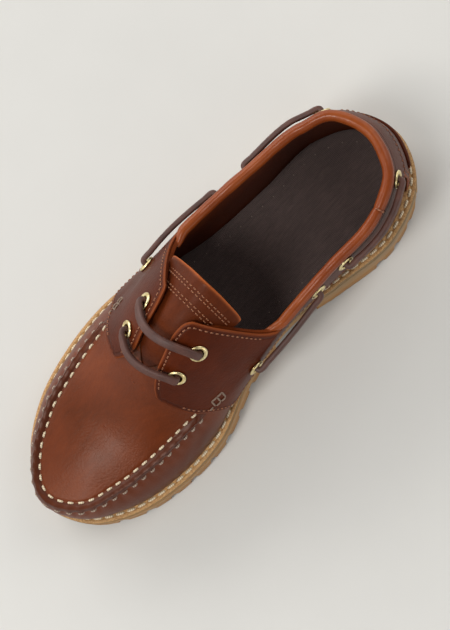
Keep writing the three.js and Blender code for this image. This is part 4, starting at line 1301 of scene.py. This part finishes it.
# ---------- Heel patch ----------
# A patch of the same leather down the back seam, edge-stitched in front, with a little folded roll
# sewn across it.
PATCH_FRONT = {"z": [20, 38, 50, 61, 80], "x": [26.8, 26, 24.4, 26.5, 28.6]}
PATCH_ROWS, PATCH_ACROSS = 40, 81
TAB_Z, TAB_X, TAB_HALF_HIGH, TAB_HALF_THICK = 51.0, 20.0, 1.71, 1.5
patch_front = curve(PATCH_FRONT["z"], PATCH_FRONT["x"])
patch_rows = spread(PATCH_ROWS)


def patch_v(u, side, part):
    """The height of each row of the patch, between the welt and the saddle."""
    def above_row(place):
        x, _, z = np.moveaxis(place, -1, 0)
        return z - (welt(x) + 0.4) * (1 - part) - (saddle_foot(x) - 0.5) * part

    return v_where(above_row, u, side)


def behind_front(u, side):
    place = last_skin(u, side, patch_v(u, side, patch_rows))
    return place[:, 0] < patch_front(place[:, 2])


front_u = {side: halve(np.zeros(PATCH_ROWS), np.full(PATCH_ROWS, 60.0), lambda u: behind_front(u, side))
           for side in (-1, 1)}
across = 2 * spread(PATCH_ACROSS) - 1
u = np.stack([np.abs(part) * front_u[-1 if part < 0 else 1] for part in across])
side = np.where(across < 0, -1.0, 1.0)[:, None] + 0 * u
v = patch_v(u, side, patch_rows[None] + 0 * u)
flat_sheet = on_last(u, side, v, SADDLE_OUT - 0.1)
edge_round = rounded_off(flat_sheet, 1.3, 0.7)
patch = slab("heel_patch_leather", on_last(u, side, v, SADDLE_OUT - 0.1 - edge_round),
             on_last(u, side, v, SADDLE_IN))
mark_distance(patch, "from_edge", np.concatenate([flat_sheet[0], flat_sheet[-1]]))
patch.data.materials.append(saddle_leather)


def tube(name, path, facing, wide, thick, sides=14, squareness=2.0):
    """A round or squarish length along a path. facing: the way its thickness points."""
    tangent = unit(np.gradient(path, axis=0))
    beside = unit(np.cross(facing, tangent))
    over = np.cross(tangent, beside)
    turn = 2 * np.pi * (np.arange(sides) + 0.5) / sides
    cos, sin = np.cos(turn), np.sin(turn)
    power = 2 / squareness
    shape_x, shape_y = np.sign(cos) * np.abs(cos) ** power, np.sign(sin) * np.abs(sin) ** power
    wide, thick = (np.broadcast_to(size, len(path))[:, None, None] for size in (wide, thick))
    points = path[:, None] + wide * beside[:, None] * shape_x[None, :, None]
    points = points + thick * over[:, None] * shape_y[None, :, None]
    faces = grid_faces(len(path), sides, False, True).tolist()
    faces += [list(reversed(range(sides))), [(len(path) - 1) * sides + k for k in range(sides)]]
    piece = mesh_piece(name, points.reshape(-1, 3), faces)
    piece.data.set_sharp_from_angle(angle=math.radians(70))
    return piece


part = np.linspace(-1, 1, 61)
side = np.where(part < 0, -1.0, 1.0)
u = np.abs(part) * float(find(TAB_X, TAB_Z, -1)[0])
v = v_at_line(u, side, lambda x: TAB_Z + 0 * x)
path = on_last(u, side, v, SADDLE_OUT + 0.5)
ends = np.sqrt(np.clip(1 - np.abs(part) ** 8, 0.05, 1))
tab = tube("heel_tab_roll", path, outward(u, side, v), TAB_HALF_HIGH * ends, TAB_HALF_THICK * ends)
mark_distance(tab, "from_edge", np.stack([path[0], path[-1]]))
tab.data.materials.append(saddle_leather)
wear_slot(tab, "upper_leather")
wear_slot(patch, "upper_leather", "heel_patch")
clear_of_ends = slice(2, -2)
rows = []
for this_side in (-1, 1):
    u = front_u[this_side][clear_of_ends]
    v = patch_v(u, this_side, patch_rows[clear_of_ends])
    path = on_last(u - 2.9, this_side, v, SADDLE_OUT - 0.25)
    rows.append(stitch_row(path, outward(u - 2.9, this_side, v), EDGE_PITCH, EDGE_STITCH))
sewn("heel_patch_stitches", rows, EDGE_THREAD, brown_thread)


# ---------- Collar ----------
# A roll of soft leather filled with foam, sewn round the top line from flap to flap. Its ends are
# tucked in under the flaps, and one small seam joins it on the inner side of the heel.
COLLAR_SEAM_X, COLLAR_END_X, TUCKED_FROM_X = 53.0, 139.0, 129
COLLAR_COLUMNS = 260
# In parts of the roll's radius: how unevenly it is filled, and how far its seam and its ends draw in.
SWELL, RIPPLE, SEAM_PINCH, END_PINCH = 0.022, 0.018, 0.10, 0.35

end_u = COLLAR_END_X - HEEL_POLE + HEEL_FAN
outer = np.linspace(end_u, 0, COLLAR_COLUMNS)
u = np.concatenate([outer, outer[::-1][1:]])
side = sides_of(COLLAR_COLUMNS, COLLAR_COLUMNS - 1)
v = v_at_line(u, side, collar_height)
x = last_skin(u, side, v)[:, 0]
tuck_in = smooth((x - TUCKED_FROM_X) / 9)
run = run_along(last_skin(u, side, v))
slow_swell = SWELL * np.sin(run / 4.1) * np.sin(run / 13 + 1)
soft = 1 + slow_swell + RIPPLE * np.sin(run / 2.3 + 2 * np.sin(run / 17))
pinch = 1 - SEAM_PINCH * np.exp(-(((x - COLLAR_SEAM_X) / 1.0) ** 2)) * (side > 0)
size = ROLL_RADIUS * soft * pinch * (1 - END_PINCH * tuck_in)
path = on_last(u, side, v, SADDLE_OUT / 2 - 2.2 * tuck_in)
collar = tube("collar_roll", path, outward(u, side, v), size * 1.1, size, sides=18)
mark_distance(collar, "from_edge", path + outward(u, side, v) * 2.9 - np.array([0, 0, 2.6]))
# The band paints the shadow under the roll, where it meets the saddle. The roll's leather is coloured
# lighter than the saddle's: partly its own colour, partly painted light on the top of the roll.
collar_leather = leather(
    "collar_leather", dye(100, 40, 11), dye(126, 56, 17), dye(148, 74, 27), 0.28,
    bands=[("from_edge", 0.0, 1.2, 0.7, PAINTED_SHADE)], coat=0.2,
)
collar.data.materials.append(collar_leather)
wear_slot(collar, "collar_leather", "collar")
where = int(np.argmin(np.abs(x - COLLAR_SEAM_X) + 1000 * (side < 0)))
turn = np.linspace(-1.9, 1.9, 7)
facing = outward(u, side, v)[where]
up = np.cross(unit(np.gradient(path, axis=0))[where], facing)
spokes = np.cos(turn)[:, None] * facing * 3.0 + np.sin(turn)[:, None] * up * 3.3
sewn("collar_join", [((path[where] + spokes)[None], unit(spokes)[None])], EDGE_THREAD, brown_thread,
     "collar_leather")


# ---------- Eyelets ----------
# Twelve brass eyelets, turned and rolled over through saddle and upper: two on each flap and four
# along each side of the collar.
EYELET_SIDES = 40
# Radius and height of the turned ring, from its face.
EYELET_PROFILE = [(2.8, -3.6), (3.35, -3.6), (3.35, 0.2), (4.7, 0.15), (5.0, 0.35), (5.05, 0.65),
                  (4.8, 1.05), (4.35, 1.3), (3.75, 1.38), (3.3, 1.25), (2.95, 0.95), (2.8, 0.4)]
brass, tree = new_material("eyelet_brass")
tarnish = noise(tree, 420.0, 4.0, output(tree, "TexCoord", pick="Object"))
finish_with(tree, {
    "Base Color": ramp(tree, tarnish, (0.3, dye(200, 174, 112)), (0.6, dye(242, 228, 178))),
    "Metallic": 1.0,
    "Roughness": output(tree, "MapRange", {"Value": tarnish, "To Min": 0.2, "To Max": 0.42}),
    "Normal": raised(tree, tarnish, 0.15, 0.0002)})
eyelet_faces = grid_faces(EYELET_SIDES, len(EYELET_PROFILE), True, True)
for name, (_, _, _, centre, axis) in eyelets.items():
    spoke = spokes_round(axis, EYELET_SIDES)
    points = np.stack([centre + radius * spoke + high * axis for radius, high in EYELET_PROFILE], 1)
    ring_piece = mesh_piece(name + "_brass", points.reshape(-1, 3), eyelet_faces)
    ring_piece.data.set_sharp_from_angle(angle=math.radians(60))
    ring_piece.data.materials.append(brass)
    wear_slot(ring_piece, "eyelet_brass", name)


# ---------- Lace ----------
# One squarish rawhide lace, oiled dark. It crosses the throat twice, from flap to flap, and shows in two
# stretches along each side of the collar. Each stretch goes down through its eyelets.
LACE_HALF_WIDE, LACE_HALF_THICK = 2.3, 1.6
LACE_CLEAR = 0.9
LACE_POINTS, LACE_SIDES, LACE_SQUARENESS = 120, 20, 3.2
# Down in an eyelet and up out of it, from its face.
LACE_DEPTHS = (-4.0, -2.4, 0.2, 2.2)
# How far a stretch stands out in its middle, and how far a bar over the throat bends forward.
SIDE_BOW, THROAT_BOW, THROAT_FORWARD = 1.2, 1.2, 6.5


def lace_route(start, end, bow_out, bow_forward):
    """Up out of one eyelet, taut or along the leather, whichever is further out, and down the next."""
    u0, side0, v0, centre0, axis0 = start
    u1, side1, v1, centre1, axis1 = end
    parts = np.linspace(0.14, 0.86, 9)
    way = []
    for part in parts:
        lift = LACE_HALF_THICK + LACE_CLEAR + bow_out * 4 * part * (1 - part)
        u = u0 + (u1 - u0) * part + bow_forward * math.sin(math.pi * part**0.7)
        if side0 == side1:
            axis = unit(axis0 * (1 - part) + axis1 * part)
            taut = centre0 * (1 - part) + centre1 * part + axis * lift
            on_leather = on_last(u, float(side0), v0 + (v1 - v0) * part, SADDLE_OUT + lift)
            further = float(np.dot(on_leather - taut, axis))
            way.append(taut + axis * (further + math.hypot(further, 1.0)) / 2)
        else:
            far = v0 + (4 - v1 - v0) * part
            this_side, v = (side0, far) if far < 2 else (side1, 4 - far)
            way.append(on_last(u, float(this_side), min(v, 1.999), SADDLE_OUT + lift))
    depths = np.array(LACE_DEPTHS)[:, None]
    points = np.concatenate([centre0 + depths * axis0, way, centre1 + depths[::-1] * axis1])
    leave, arrive = unit(centre0 - way[2]), unit(centre1 - way[-3])
    between = axis0 * (1 - parts[:, None]) + axis1 * parts[:, None]
    facing = np.concatenate([np.tile(leave, (4, 1)), between, np.tile(arrive, (4, 1))])
    run = run_along(points)
    at = np.linspace(0, run[-1], LACE_POINTS)
    smooth_way = np.stack([curve(run, points[:, i])(at) for i in range(3)], 1)
    smooth_facing = np.stack([np.interp(at, run, facing[:, i]) for i in range(3)], 1)
    return smooth_way, unit(smooth_facing)


rawhide, tree = new_material("oiled_rawhide")
coords = output(tree, "TexCoord", pick="Object")
cloud, fibre = noise(tree, 120.0, 4.0, coords), noise(tree, 1500.0, 3.0, coords)
shade = calculate(tree, "MULTIPLY_ADD", fibre, 0.35, cloud)
finish_with(tree, {
    "Base Color": ramp(tree, shade, (0.4, dye(54, 29, 23)), (0.9, dye(90, 53, 42))),
    "Roughness": output(tree, "MapRange", {"Value": shade, "To Min": 0.38, "To Max": 0.6}),
    "Normal": raised(tree, shade, 0.4, 0.0003)})


def run_lace(name, start, end, bow_out, bow_forward):
    """One stretch of the lace, from one eyelet to the next."""
    path, facing = lace_route(eyelets["eyelet_" + start], eyelets["eyelet_" + end], bow_out, bow_forward)
    lace = tube(name + "_rawhide", path, facing, LACE_HALF_WIDE, LACE_HALF_THICK, LACE_SIDES,
                LACE_SQUARENESS)
    lace.data.materials.append(rawhide)
    wear_slot(lace, "lace_leather", name)


for at in ("front", "back"):
    run_lace(f"lace_throat_{at}", f"throat_outer_{at}", f"throat_inner_{at}", THROAT_BOW, THROAT_FORWARD)
for name in ("outer", "inner"):
    run_lace(f"lace_{name}_front", f"collar_{name}_1", f"collar_{name}_2", SIDE_BOW, 0.0)
    run_lace(f"lace_{name}_back", f"collar_{name}_3", f"collar_{name}_4", SIDE_BOW, 0.0)
